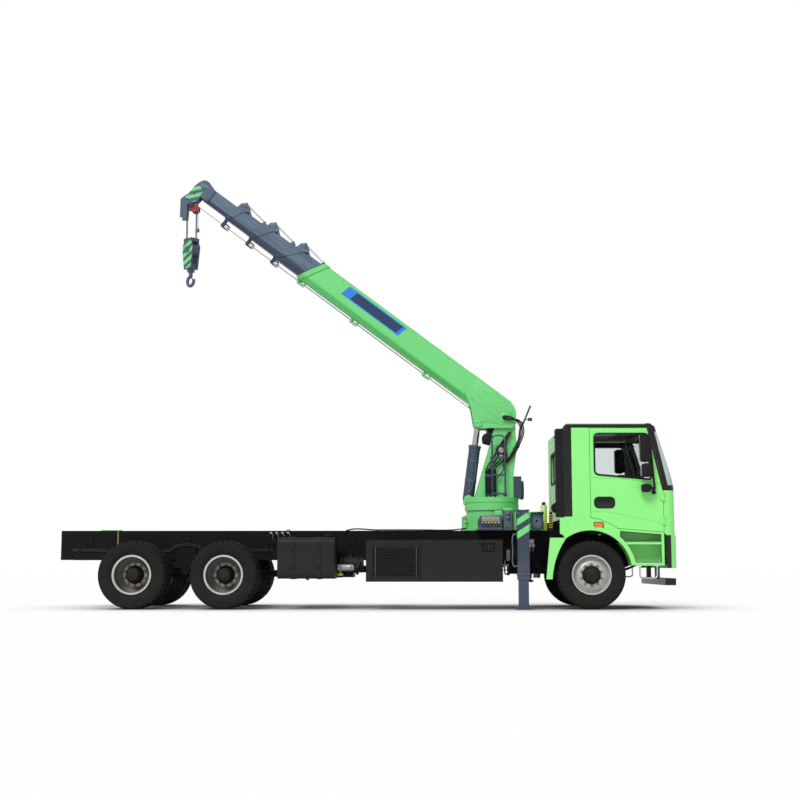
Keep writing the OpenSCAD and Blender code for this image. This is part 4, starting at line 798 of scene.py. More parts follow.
def arc_band(bm, centre, inner, outer, y0, y1, turn, steps=40):
    """Part of a flat ring about a Y axis between two turns in degrees, measured upwards from +X."""
    centre = Vector(centre)
    a, b = (math.radians(t) for t in turn)
    aim = Vector((math.cos(a), 0, math.sin(a)))
    ring = [centre + aim * r + Vector((0, y, 0)) for r, y in ((inner, y0), (outer, y0), (outer, y1),
                                                              (inner, y1))]
    face = bm.faces.new([bm.verts.new(p) for p in ring])
    bmesh.ops.spin(bm, geom=[face], cent=centre, axis=(0, -1, 0), angle=b - a, steps=steps)


def hex_head(bm, at, axis, radius=0.014, height=0.012):
    """A bolt: hexagon head on a round washer."""
    at, axis = Vector(at), Vector(axis).normalized()
    bar(bm, at - axis * 0.002, at + axis * height * 0.25, radius * 1.35, sides=14)
    bar(bm, at + axis * height * 0.2, at + axis * height, radius, sides=6)


def hex_nut(bm, at, axis, radius=0.018, height=0.030):
    """A wheel nut with the stud's end standing out of it."""
    at, axis = Vector(at), Vector(axis).normalized()
    bar(bm, at - axis * 0.004, at + axis * height * 0.2, radius * 1.3, sides=14)
    bar(bm, at, at + axis * height, radius, sides=6)
    bar(bm, at + axis * height, at + axis * (height + 0.014), radius * 0.55, sides=10)


# Finishes of the solids

FINISH = {
    "cab_green": ("cab_shell", "cab_roof"), "cab_front_green": ("cab_front",),
    "door_green": ("door_left", "door_right"), "fender_green": ("fenders",), "bumper_green": ("bumper",),
    "crane_green": ("crane_base", "turntable", "column"), "boom_green": ("boom_main",),
    "slate_paint": ("console", "column_gear", "winch_drum", "lift_barrel", "outrigger_leg_left",
                    "outrigger_leg_right"),
    "boom_slate": ("boom_2", "boom_3", "boom_4", "boom_5"), "head_slate": ("boom_head",),
    "block_slate": ("hook_block",), "leg_slate": ("outrigger_beam_left", "outrigger_beam_right"),
    "frame_black": ("frame_rails", "subframe", "front_axle", "rear_axles", "leaf_springs", "driveline",
                    "tail_beam", "knuckle_left", "knuckle_right"),
    "cover_black": ("fuel_tank", "side_cover", "left_gear"),
    "moulded_black": ("intake_duct", "mirrors_left", "mirrors_right"),
    "wheel_silver": ("front_rim_left", "front_rim_right"),
    "rear_silver": ("rear_rims_1_left", "rear_rims_1_right", "rear_rims_2_left", "rear_rims_2_right"),
    "rod_chrome": ("lift_rod",), "screen_glass": ("cab_glass",),
    "side_glass": ("door_glass_left", "door_glass_right"), "seat_cloth": ("cab_interior",),
    "coolant_bottle": ("cab_rear_gear",), "lamp_bowl": ("lamps",),
    "tyre_rubber": ("front_tyre_left", "front_tyre_right", "rear_tyres_1_left", "rear_tyres_1_right",
                    "rear_tyres_2_left", "rear_tyres_2_right"),
}
for finish, names in FINISH.items():
    for name in names:
        nodes[name].data.materials.clear()
        nodes[name].data.materials.append(bpy.data.materials[finish])


# Wheels

def tyre_shape():
    """One tyre about the Y axis: beads, ringed flanks, ribs with grooves and notched shoulders."""
    flank = [(0.106, 0.2855), (0.110, 0.306), (0.1205, 0.315), (0.1215, 0.322), (0.128, 0.332),
             (0.1385, 0.350), (0.1405, 0.357), (0.1445, 0.366), (0.1475, 0.398), (0.1465, 0.430),
             (0.1425, 0.452), (0.1440, 0.458), (0.1390, 0.478), (0.1335, 0.490), (0.1320, 0.496),
             (0.1240, 0.5085), (0.1180, 0.5135)]
    ribs = [(0.0930, 0.5185), (0.0895, 0.5060), (0.0775, 0.5060), (0.0745, 0.5195), (0.0370, 0.5218),
            (0.0335, 0.5080), (0.0215, 0.5080), (0.0180, 0.5220)]
    half = flank + ribs
    profile = half + [(-a, r) for a, r in reversed(half)]
    bm = bmesh.new()
    verts = [bm.verts.new((r, a, 0)) for a, r in profile]
    verts.append(verts[0])
    edges = [bm.edges.new(pair) for pair in zip(verts, verts[1:])]
    steps = 108
    bmesh.ops.spin(bm, geom=verts[:-1] + edges, cent=(0, 0, 0), axis=(0, 1, 0), angle=math.tau, steps=steps,
                   use_merge=True)
    bmesh.ops.remove_doubles(bm, verts=bm.verts, dist=1e-5)
    bmesh.ops.recalc_face_normals(bm, faces=bm.faces)
    notches = []
    for face in bm.faces:
        centre = face.calc_center_median()
        reach = math.hypot(centre.x, centre.z)
        turn = int(math.floor((math.atan2(centre.z, centre.x) / math.tau + 1) * steps + 0.25))
        if abs(centre.y) > 0.093 and reach > 0.50 and turn % 3 == 0:
            notches.append(face)
    sunk = bmesh.ops.extrude_discrete_faces(bm, faces=notches)["faces"]
    moved = {v for f in sunk for v in f.verts}
    for v in moved:
        v.co.x *= 0.978
        v.co.z *= 0.978
        v.co.y *= 0.985
    return bm


def place_tyres():
    """Treaded tyres in place of the plain ones, each on the body of its wheel."""
    shape = tyre_shape()
    mould = bpy.data.meshes.new("tyre_mould")
    shape.to_mesh(mould)
    shape.free()
    sets = [("front_tyre_%s", FRONT_X, (1.020,), "front_wheel_%s")]
    sets += [("rear_tyres_%d_%%s" % (i + 1), x, (1.0925, 0.7675), "rear_wheels_%d_%%s" % (i + 1))
             for i, x in enumerate(REAR_X)]
    for node, x, rows, body in sets:
        for side, sign in SIDES:
            bm = bmesh.new()
            for row in rows:
                before = len(bm.verts)
                bm.from_mesh(mould)
                bm.verts.ensure_lookup_table()
                bmesh.ops.translate(bm, vec=(x, sign * row, AXLE_Z), verts=bm.verts[before:])
            finish_piece("treaded_" + node % side, bm, tyre_rubber, body % side,
                         stands_for=(node % side,))


def dress_wheel(name, body, x, sign, disc, cap):
    """Hub cap, ten nuts and the valve of a wheel; disc and cap are distances from the middle."""
    bm = bmesh.new()
    out = (0, sign, 0)
    base = Vector((x, sign * disc, AXLE_Z))
    depth = cap - disc
    lathe(bm, [(-0.004, 0.142), (0.012, 0.142), (0.020, 0.134), (0.030, 0.128), (0.046, 0.122),
               (depth * 0.55, 0.106), (depth * 0.62, 0.112), (depth * 0.70, 0.112), (depth * 0.74, 0.104),
               (depth + 0.004, 0.094), (depth + 0.012, 0.080), (depth + 0.016, 0.050), (depth + 0.017, 0.0)],
          base, out, 40)
    for at in around(base + Vector((0, sign * depth * 0.70, 0)), 0.1085, 6):
        hex_head(bm, at, out, 0.0045, 0.008)
    finish_piece("hub_cap_" + name, bm, moulded_black, body)
    bm = bmesh.new()
    for at in around(base, 0.163, 10, start=0.5):
        hex_nut(bm, at, out, 0.0165, 0.026)
    finish_piece("wheel_nuts_" + name, bm, nut_brass, body, smooth=False)
    bm = bmesh.new()
    stem = base + Vector((0.236, sign * 0.02, 0.05))
    pipe(bm, [stem, stem + Vector((0.004, sign * 0.03, 0)), stem + Vector((0.012, sign * 0.055, 0.002))],
         0.005, 8)
    finish_piece("valve_" + name, bm, bright_steel, body)


place_tyres()
for side, sign in SIDES:
    dress_wheel("front_" + side, "front_wheel_" + side, FRONT_X, sign, 1.0925, 1.172)
    for i, x in enumerate(REAR_X):
        dress_wheel("rear_%d_%s" % (i + 1, side), "rear_wheels_%d_%s" % (i + 1, side), x, sign, 0.946, 1.132)


# Cab

def screen_x(z):
    """The windscreen's outside at height z."""
    return NOSE_X - (z - 1.818) * 0.300 / 0.963


def on_flank(points, sign, y=SIDE):
    """Points on one side of the cab from their x and z."""
    return [Vector((x, sign * y, z)) for x, z in points]


WINDOW = ((3.545, 2.034), (3.545, 2.684), (4.396, 2.684), (4.442, 1.952))
MIRRORS = ((4.235, 2.230, 2.640), (4.255, 2.000, 2.205), (4.240, 1.770, 1.890))
HANDLE = ((3.540, 1.528), (3.540, 1.704), (3.860, 1.704), (3.860, 1.528))
LAMP_Y = (0.640, 1.000)
LAMP_Z = (0.850, 1.010)


def dress_door(side, sign):
    """Window seal, handle bezel, pressed creases, armrest and mirrors; all swing with the door."""
    body = "door_" + side
    out = Vector((0, sign, 0))
    bm = bmesh.new()
    frame_strip(bm, rounded(on_flank(WINDOW, sign), 0.085, 7), 0.027, out * 0.009)
    frame_strip(bm, rounded(on_flank(HANDLE, sign), 0.085, 7), 0.014, out * 0.010)
    pipe(bm, [(3.600, sign * 1.192, 1.640), (3.640, sign * 1.204, 1.646), (3.760, sign * 1.204, 1.646),
              (3.800, sign * 1.192, 1.640)], 0.013, 10)
    finish_piece("door_seals_" + side, bm, moulded_black, body)
    bm = bmesh.new()
    for route in (((3.500, 2.006), (3.900, 1.986), (4.300, 1.944), (4.585, 1.905)),
                  ((3.500, 1.492), (3.800, 1.470), (4.150, 1.400), (4.420, 1.336), (4.585, 1.310))):
        pipe(bm, on_flank(route, sign, SIDE - 0.004), 0.011, 8)
    finish_piece("door_creases_" + side, bm, door_green, body)
    bm = bmesh.new()
    for back, low, high in MIRRORS:
        corners = [Vector((back - 0.001, sign * y, z)) for y, z in
                   ((1.258, low + 0.012), (1.258, high - 0.012), (1.342, high - 0.012), (1.342, low + 0.012))]
        panel(bm, rounded(corners, 0.020), (-0.004, 0, 0), 0.0015)
    finish_piece("mirror_glass_" + side, bm, lamp_bowl, body)
    bm = bmesh.new()
    for back, low, high in MIRRORS:
        face = [Vector((x, sign * 1.350, z)) for x, z in
                ((back + 0.012, low + 0.012), (back + 0.012, high - 0.012), (back + 0.153, high - 0.012),
                 (back + 0.153, low + 0.012))]
        panel(bm, rounded(face, 0.050, 6), out * 0.007, 0.005)
    for z in (1.830, 2.102, 2.435):
        x = 4.440 - (z - 1.83) * 0.082
        bar(bm, (x, sign * 1.300, z - 0.018), (x, sign * 1.300, z + 0.018), 0.021)
    finish_piece("mirror_backs_" + side, bm, moulded_black, body)
    bm = bmesh.new()
    side_slab(bm, sign, (3.62, 4.36), (1.090, 1.138), (1.72, 1.79), 0.015, 3)
    pipe(bm, [(3.70, sign * 1.136, 1.60), (3.70, sign * 1.095, 1.61), (4.00, sign * 1.095, 1.64),
              (4.00, sign * 1.136, 1.65)], 0.012)
    finish_piece("door_armrest_" + side, bm, seat_cloth, body)


def dress_flank(side, sign):
    """Arch lip, step treads, step loop and side marker on the cab's side."""
    out = Vector((0, sign, 0))
    low, high = sorted(sign * y for y in (SIDE - 0.004, SIDE + 0.016))
    bm = bmesh.new()
    arc_band(bm, (3.475, 0, 0.567), 0.626, 0.690, low, high, (9, 127), 48)
    bmesh.ops.bevel(bm, geom=[e for e in bm.edges if e.is_manifold and e.calc_face_angle(0) > 1.2],
                    offset=0.006, segments=2, profile=0.5, affect="EDGES", material=-1)
    finish_piece("arch_lip_" + side, bm, fender_green)
    bm = bmesh.new()
    for back, z in ((4.118, 0.7015), (3.972, 1.0165)):
        side_slab(bm, sign, (back, 4.560), (0.99, 1.188), (z - 0.001, z + 0.004), 0.0015, 1)
        for i in range(5):
            y = sign * (1.172 - i * 0.036)
            slab(bm, (back + 0.015, y - 0.008, z + 0.003), (4.545, y + 0.008, z + 0.009), 0.002, 1)
    finish_piece("step_plates_" + side, bm, bright_steel, smooth=False)
    bm = bmesh.new()
    y = sign * 1.165
    pipe(bm, [(4.222, y, 0.680), (4.224, y, 0.560), (4.230, y, 0.492), (4.270, y, 0.478), (4.350, y, 0.476),
              (4.430, y, 0.478), (4.472, y, 0.492), (4.479, y, 0.560), (4.482, y, 0.680)], 0.013, 10)
    for x in (4.222, 4.482):
        slab(bm, (x - 0.026, y - 0.012, 0.645), (x + 0.026, y + 0.012, 0.690), 0.004)
    finish_piece("step_loop_" + side, bm, rod_chrome)
    bm = bmesh.new()
    corners = on_flank(((3.532, 1.226), (3.532, 1.318), (3.678, 1.318), (3.678, 1.226)), sign)
    frame_strip(bm, rounded(corners, 0.014), 0.010, out * 0.013)
    finish_piece("marker_frame_" + side, bm, moulded_black, smooth=False)
    bm = bmesh.new()
    corners = on_flank(((3.541, 1.235), (3.541, 1.309), (3.669, 1.309), (3.669, 1.235)), sign, SIDE - 0.001)
    panel(bm, rounded(corners, 0.010), out * 0.020, 0.006, 3)
    for i in range(7):
        x = 3.556 + i * 0.0165
        side_slab(bm, sign, (x, x + 0.006), (1.214, 1.2215), (1.246, 1.298), 0.002, 1)
    finish_piece("marker_lens_" + side, bm, lamp_orange)


def dress_lamps():
    """Headlamps with twin bowls behind a lens, and tail lamps with three chambers."""
    bowls, lens, housing, tail, tail_frame = (bmesh.new() for _ in range(5))
    for sign in (1, -1):
        y0, y1 = sorted((sign * LAMP_Y[0], sign * LAMP_Y[1]))
        slab(housing, (4.762, y0 + 0.003, LAMP_Z[0] + 0.003), (4.770, y1 - 0.003, LAMP_Z[1] - 0.003), 0.002)
        corners = [Vector((4.770, y, z)) for y, z in ((y0 + 0.004, LAMP_Z[0] + 0.004),
                                                      (y0 + 0.004, LAMP_Z[1] - 0.004),
                                                      (y1 - 0.004, LAMP_Z[1] - 0.004),
                                                      (y1 - 0.004, LAMP_Z[0] + 0.004))]
        frame_strip(housing, corners, 0.012, (0.030, 0, 0))
        for y in (y0 + 0.098, y1 - 0.098):
            lathe(bowls, [(0.0, 0.0), (0.001, 0.020), (0.006, 0.040), (0.014, 0.056), (0.024, 0.068),
                          (0.028, 0.070), (0.028, 0.066), (0.022, 0.062), (0.010, 0.044), (0.004, 0.022),
                          (0.004, 0.0)],
                  (4.769, y, 0.930), (1, 0, 0), 32)
            lathe(bowls, [(0.0, 0.012), (0.018, 0.012), (0.024, 0.008), (0.026, 0.0)], (4.772, y, 0.930),
                  (1, 0, 0), 16)
        face = [Vector((4.799, c.y, c.z)) for c in corners]
        panel(lens, rounded(face, 0.012), (0.004, 0, 0), 0.0015)
        y0, y1 = sorted((sign * 0.220, sign * 0.390))
        slab(tail_frame, (-4.781, y0, 0.839), (-4.774, y1, 0.929), 0.003)
        for i in range(3):
            a = y0 + 0.006 + i * 0.0535
            slab(tail, (-4.800, a, 0.845), (-4.780, a + 0.050, 0.923), 0.006, 3)
            for k in range(3):
                slab(tail, (-4.8035, a + 0.008, 0.856 + k * 0.022), (-4.798, a + 0.042, 0.866 + k * 0.022),
                     0.002, 1)
    finish_piece("headlamp_bowls", bowls, lamp_bowl, stands_for=("lamps",))
    finish_piece("headlamp_lens", lens, lamp_glass, smooth=False)
    finish_piece("headlamp_housings", housing, moulded_black, smooth=False)
    finish_piece("tail_lenses", tail, tail_red)
    finish_piece("tail_housings", tail_frame, moulded_black, smooth=False)


def dress_front():
    """Grille slats, wipers, tow pins and a blank plate."""
    bm = bmesh.new()
    for i in range(4):
        z = 1.235 + i * 0.095
        for k in range(3):
            slab(bm, (4.757, -0.612, z - 0.021 + k * 0.017), (4.777, 0.612, z - 0.013 + k * 0.017), 0.002, 1)
        for k in range(9):
            slab(bm, (4.758, -0.604 + k * 0.150, z - 0.024), (4.772, -0.596 + k * 0.150, z + 0.024), 0.001, 1)
    for y in (-0.40, 0.42):
        foot = Vector((screen_x(1.850) - 0.006, y, 1.850))
        tip = Vector((screen_x(2.300) - 0.012, y - 0.36, 2.300))
        bar(bm, foot - Vector((0.05, 0, 0)), foot + Vector((0.012, 0, 0)), 0.020, 16)
        pipe(bm, [foot, foot.lerp(tip, 0.45) + Vector((0.012, 0, 0)), tip], 0.007, 8)
        low, high = Vector((screen_x(1.93) - 0.016, y - 0.20, 1.93)), Vector((screen_x(2.52) - 0.016,
                                                                              y - 0.42, 2.52))
        bar(bm, low, high, 0.008, 6)
        bar(bm, low.lerp(high, 0.25), low.lerp(high, 0.75), 0.013, 6)
    for sign in (1, -1):
        bar(bm, (4.795, sign * 0.38, 0.715), (4.812, sign * 0.38, 0.715), 0.040, 20)
        bar(bm, (4.805, sign * 0.38, 0.715), (4.822, sign * 0.38, 0.715), 0.022, 16)
    slab(bm, (4.800, -0.34, 0.885), (4.8085, 0.34, 1.020), 0.003)
    finish_piece("front_trim", bm, moulded_black, smooth=False)
    bm = bmesh.new()
    slab(bm, (4.807, -0.26, 0.895), (4.8125, 0.26, 1.010), 0.002)
    for y in (-0.20, 0.20):
        hex_head(bm, (4.812, y, 0.995), (1, 0, 0), 0.007, 0.004)
    finish_piece("blank_plate", bm, lamp_bowl, smooth=False)


def dress_cab_back():
    """Rear window seal, duct louvres and clamps, and the rear wall's ribs."""
    bm = bmesh.new()
    corners = [Vector((CAB_X, y, z)) for y, z in ((-0.725, 1.975), (-0.725, 2.505), (0.725, 2.505),
                                                  (0.725, 1.975))]
    frame_strip(bm, rounded(corners, 0.09, 6), 0.038, (-0.012, 0, 0))
    for i in range(14):
        z = 1.62 + i * 0.075
        slab(bm, (2.972, -1.183, z), (3.080, -1.176, z + 0.030), 0.003, 1)
    for z in (1.50, 2.62):
        slab(bm, (2.968, -1.188, z), (3.087, -0.935, z + 0.026), 0.003, 1)
    finish_piece("cab_back_trim", bm, moulded_black, smooth=False)
    bm = bmesh.new()
    for y in (-0.86, -0.43, 0.0, 0.43, 0.86):
        slab(bm, (3.079, y - 0.03, 1.46), (3.092, y + 0.03, 1.93), 0.006)
    for z in (2.60, 2.70):
        slab(bm, (3.079, -0.90, z), (3.092, 1.10, z + 0.035), 0.006)
    finish_piece("cab_back_ribs", bm, cab_green, smooth=False)


def dress_inside():
    """Head rests, cushion seams, instrument hood, gear lever and visors behind the glass."""
    bm = bmesh.new()
    for y in (-0.56, 0.56):
        slab(bm, (3.160, y - 0.15, 2.360), (3.250, y + 0.15, 2.560), 0.04, 4)
        for d in (-0.07, 0.07):
            bar(bm, (3.205, y + d, 2.30), (3.205, y + d, 2.40), 0.008)
        for d in (-0.17, 0.0, 0.17):
            slab(bm, (3.40, y + d - 0.07, 1.752), (3.76, y + d + 0.07, 1.772), 0.012, 2)
        slab(bm, (4.28, y - 0.30, 2.60), (4.42, y + 0.30, 2.618), 0.008)
    finish_piece("seat_details", bm, seat_cloth)
    bm = bmesh.new()
    slab(bm, (4.40, 0.36, 1.725), (4.62, 0.78, 1.830), 0.02, 3)
    for y in (-0.72, -0.45, 0.10):
        slab(bm, (4.386, y - 0.07, 1.635), (4.394, y + 0.07, 1.685), 0.003)
    bar(bm, (4.00, 0.02, 1.44), (3.96, 0.02, 1.80), 0.014)
    lathe(bm, [(-0.03, 0.0), (-0.026, 0.018), (0.0, 0.028), (0.022, 0.022), (0.03, 0.0)],
          (3.957, 0.02, 1.82), (0, 0, 1), 20)
    finish_piece("dash_details", bm, moulded_black)


for side, sign in SIDES:
    dress_door(side, sign)
    dress_flank(side, sign)
dress_lamps()
dress_front()
dress_cab_back()
dress_inside()


# Crane

def in_boom(u, side, v):
    """A point in the boom's own frame; side is positive to the truck's right."""
    return BOOM @ Vector((u, side, v))


def boom_line(points, side=0.0):
    return [in_boom(u, side, v) for u, v in points]


BOOM_OUT = BOOM.to_3x3() @ Vector((0, 1, 0))
ROPE_V = -0.188
GUIDE_FOOT = BOOM_AXIS - SECTIONS[0][1] / 2 - 0.068


KNOB_X = [1.865 + i * 0.050 for i in range(6)]
SPOOL_X = [1.948 + i * 0.036 for i in range(5)]
LEVER = Vector((0, -0.866, 0.5))


def dress_base():
    """Slew drive with its plug, and the green lids of the boxes on the base."""
    bm = bmesh.new()
    lathe(bm, [(0.0, 0.0), (0.0, 0.062), (0.016, 0.062), (0.018, 0.044), (0.120, 0.044), (0.122, 0.052),
               (0.136, 0.052), (0.138, 0.040), (0.168, 0.038), (0.170, 0.0)], (1.600, -0.385, DECK),
               (0, 0, 1), 28)
    slab(bm, (2.190, -0.630, 1.520), (2.342, -0.460, 1.560), 0.010)
    slab(bm, (2.060, -0.600, 1.436), (2.180, -0.470, 1.520), 0.012)
    slab(bm, (2.602, -0.425, DECK + 0.272), (2.690, -0.352, DECK + 0.284), 0.003)
    finish_piece("base_drive", bm, crane_green)
    bm = bmesh.new()
    lathe(bm, [(0.0, 0.036), (0.020, 0.034), (0.045, 0.014), (0.050, 0.0)], (1.600, -0.385, DECK + 0.170),
          (0, 0, 1), 20)
    finish_piece("drive_plug", bm, nut_brass)


def dress_console():
    """Boxes, strip, plate and knobs of the console, and the hoses on the deck."""
    bm = bmesh.new()
    slab(bm, (2.195, -0.640, DECK), (2.338, -0.465, 1.522), 0.010)
    slab(bm, (2.210, -0.652, 1.250), (2.322, -0.638, 1.360), 0.004)
    for z in (1.405, 1.470):
        lathe(bm, [(0.0, 0.0), (0.0, 0.030), (0.040, 0.030), (0.044, 0.020), (0.060, 0.018), (0.060, 0.0)],
              (2.266, -0.630, z), (0, -1, 0), 20)
    slab(bm, (1.785, -0.668, DECK + 0.010), (2.175, -0.655, DECK + 0.036), 0.003)
    for x in (1.800, 2.160):
        hex_head(bm, (x, -0.668, DECK + 0.023), (0, -1, 0), 0.009, 0.008)
    for x in KNOB_X:
        foot = Vector((x, -0.656, 1.2845))
        lathe(bm, [(0.0, 0.017), (0.010, 0.017), (0.016, 0.012), (0.032, 0.010)], foot, LEVER, 14)
    finish_piece("console_trim", bm, slate_paint, smooth=False)
    bm = bmesh.new()
    slab(bm, (1.850, -0.664, 1.350), (2.140, -0.657, 1.424), 0.003)
    for i in range(6):
        slab(bm, (1.858 + i * 0.047, -0.667, 1.372), (1.896 + i * 0.047, -0.662, 1.402), 0.002, 1)
    finish_piece("console_plate", bm, bright_steel, smooth=False)
    for name, ids, finish in (("console_stop_knob", (0,), lamp_orange),
                              ("console_knobs", range(1, 6), knob_yellow)):
        bm = bmesh.new()
        for i in ids:
            lathe(bm, [(-0.016, 0.0), (-0.014, 0.007), (-0.006, 0.014), (0.004, 0.0155), (0.012, 0.010),
                       (0.016, 0.0)],
                  (KNOB_X[i], -0.730, 1.327), LEVER, 18)
        finish_piece(name, bm, finish)
    bm = bmesh.new()
    for i in range(6):
        x = KNOB_X[i]
        pipe(bm, [(x, -0.505, 1.30), (x, -0.460, 1.27), (x + 0.02, -0.425, 1.24),
                  (2.0 + i * 0.02, -0.36, 1.235)], 0.009, 8)
    for i in range(3):
        y = -0.39 - i * 0.03
        pipe(bm, [(1.60 + i * 0.01, y + 0.02, 1.245), (1.40, y + 0.02, 1.222), (0.90, y + 0.01, 1.222),
                  (0.20, y, 1.222), (-0.25, y, 1.221), (-0.32, y - 0.02, 1.18)], 0.010, 8)
    finish_piece("deck_hoses", bm, hose_rubber)


def dress_turntable():
    """Turntable bolts and the lift cylinder's pin caps."""
    bm = bmesh.new()
    for at in around((SLEW_X, 0, TABLE_TOP), 0.405, 36, "Z"):
        if abs(at.y) > 0.26 or (at.x < SLEW_X and abs(at.y) > 0.17):
            hex_head(bm, at, (0, 0, 1), 0.013, 0.013)
    for sign in (1, -1):
        out = (0, sign, 0)
        lathe(bm, [(0.0, 0.060), (0.010, 0.060), (0.014, 0.054), (0.014, 0.022), (0.008, 0.018),
                   (0.008, 0.0)],
              LIFT_FOOT + Vector((0, sign * 0.138, 0)), out, 28)
        side_slab(bm, sign, (1.60, 1.635), (0.137, 0.146), (1.640, 1.668), 0.002)
    finish_piece("turntable_bolts", bm, crane_green, "slew", smooth=False)


def dress_winch():
    """Gearbox caps and guards on both sides of the winch."""
    bm = bmesh.new()
    for sign in (1, -1):
        out = (0, sign, 0)
        lathe(bm, [(0.0, 0.068), (0.008, 0.068), (0.012, 0.062), (0.012, 0.040), (0.020, 0.036),
                   (0.020, 0.0)],
              WINCH + Vector((0, sign * 0.1362, 0)), out, 32)
        for at in around(WINCH + Vector((0, sign * 0.148, 0)), 0.053, 8):
            hex_head(bm, at, out, 0.006, 0.007)
        panel(bm, rounded([Vector((x, sign * 0.1062, z)) for x, z in
                           ((1.905, 2.640), (1.900, 2.760), (1.985, 2.800), (2.080, 2.720), (2.060, 2.600))],
                           0.03),
              Vector((0, sign * 0.046, 0)), 0.008)
    finish_piece("winch_gearbox", bm, moulded_black, "slew")


def dress_column():
    """Ladder head and feet on the column."""
    bm = bmesh.new()
    pipe(bm, [(2.045, -0.300, 2.635), (2.046, -0.300, 2.680), (2.075, -0.300, 2.722), (2.147, -0.300, 2.735),
              (2.220, -0.300, 2.722), (2.249, -0.300, 2.680), (2.250, -0.300, 2.635)], 0.0138, 12)
    for x in (2.045, 2.250):
        for z in (1.8015, 2.3815):
            bar(bm, (x, -0.206, z), (x, -0.198, z), 0.032, 18)
        bar(bm, (x, -0.300, TABLE_TOP - 0.001), (x, -0.300, TABLE_TOP + 0.012), 0.030, 18)
    finish_piece("ladder_fittings", bm, slate_paint, "slew")


def dress_hoses():
    """Hose reel, and the hoses that climb the column."""
    bm = bmesh.new()
    reel = Vector((2.190, -0.2795, 2.5015))
    for depth, r in ((0.0, 0.070), (-0.012, 0.058), (0.0, 0.046)):
        pipe(bm, around(reel + Vector((0, depth, 0)), r, 16), 0.010, 8, closed=True)
    pipe(bm, [reel + Vector((0.07, 0, 0)), reel + Vector((0.09, -0.01, -0.09)),
              reel + Vector((0.05, 0.03, -0.28)), (2.13, -0.245, 2.05)], 0.009, 8)
    for i in range(4):
        x = 1.950 + i * 0.045
        top = Vector((x, -0.240, 2.118))
        pipe(bm, [top, top + Vector((0.005, -0.01, 0.08)), Vector((x + 0.10 + i * 0.02, -0.215, 2.36)),
                  Vector((2.20 + i * 0.028, -0.212, 2.62 + i * 0.012)),
                  Vector((2.325 + i * 0.012, -0.190 - i * 0.003, 2.80))], 0.011, 8)
    lathe(bm, [(0.0, 0.015), (0.019, 0.015), (0.020, 0.034), (0.046, 0.034), (0.048, 0.030), (0.048, 0.0)],
          (PIVOT.x, -0.2185, PIVOT.z), (0, -1, 0), 20)
    for i in range(3):
        d = i * 0.026
        pipe(bm, [(2.262, -0.253, 3.055 - d), (2.350, -0.256, 3.040 - d), (2.430 + d, -0.252, 2.985),
                  (2.505 + d, -0.242, 2.850), (2.450 + d, -0.238, 2.620),
                  (2.330, -0.236 - d * 0.2, 2.400 - d), (2.262 - d, -0.226, 2.300 - d)], 0.011, 8)
    for x in SPOOL_X:
        pipe(bm, [(x, -0.262, 1.775), (x, -0.300, 1.760), (x + 0.01, -0.320, 1.752)], 0.010, 8)
    finish_piece("column_hoses", bm, hose_rubber, "slew")
    bm = bmesh.new()
    lathe(bm, [(0.0, 0.0), (0.0, 0.046), (0.012, 0.046), (0.014, 0.034), (0.020, 0.030), (0.024, 0.012),
               (0.024, 0.0)], reel, (0, -1, 0), 32)
    slab(bm, (2.165, -0.298, 2.360), (2.215, -0.272, 2.425), 0.006)
    finish_piece("hose_reel_disc", bm, bright_steel, "slew")


def dress_valves():
    """Spools, covers and bolts of the valve block."""
    bm = bmesh.new()
    for x in SPOOL_X:
        lathe(bm, [(0.0, 0.0), (0.0, 0.016), (0.060, 0.016), (0.062, 0.011), (0.078, 0.011), (0.082, 0.014),
                   (0.094, 0.014), (0.096, 0.0)], (x, -0.236, 2.110), (0, 0, 1), 14)
        slab(bm, (x - 0.015, -0.284, 1.800), (x + 0.015, -0.268, 2.080), 0.004)
        hex_head(bm, (x, -0.284, 1.86), (0, -1, 0), 0.010, 0.012)
        hex_head(bm, (x, -0.284, 2.03), (0, -1, 0), 0.010, 0.012)
    finish_piece("valve_spools", bm, moulded_black, "slew")


def dress_cooler():
    """Cooler fins, fan guard and fan hub."""
    bm = bmesh.new()
    for i in range(20):
        z = 1.760 + i * 0.016
        for sign in (1, -1):
            side_slab(bm, sign, (2.400, 2.500), (0.239, 0.246), (z, z + 0.006), 0.001, 1)
    fan = Vector((2.556, 0, 1.8715))
    for r in (0.150, 0.120, 0.090, 0.055):
        pipe(bm, around(fan, r, 20, "X"), 0.004, 6, closed=True)
    rim = around(fan, 0.152, 8, "X")
    for near, far in zip(rim[:4], rim[4:]):
        bar(bm, near, far, 0.004, 8)
    lathe(bm, [(0.0, 0.0), (0.0, 0.040), (0.012, 0.036), (0.014, 0.0)], (2.551, 0, 1.8715), (1, 0, 0), 20)
    finish_piece("cooler_core", bm, slate_paint, "slew", smooth=False)


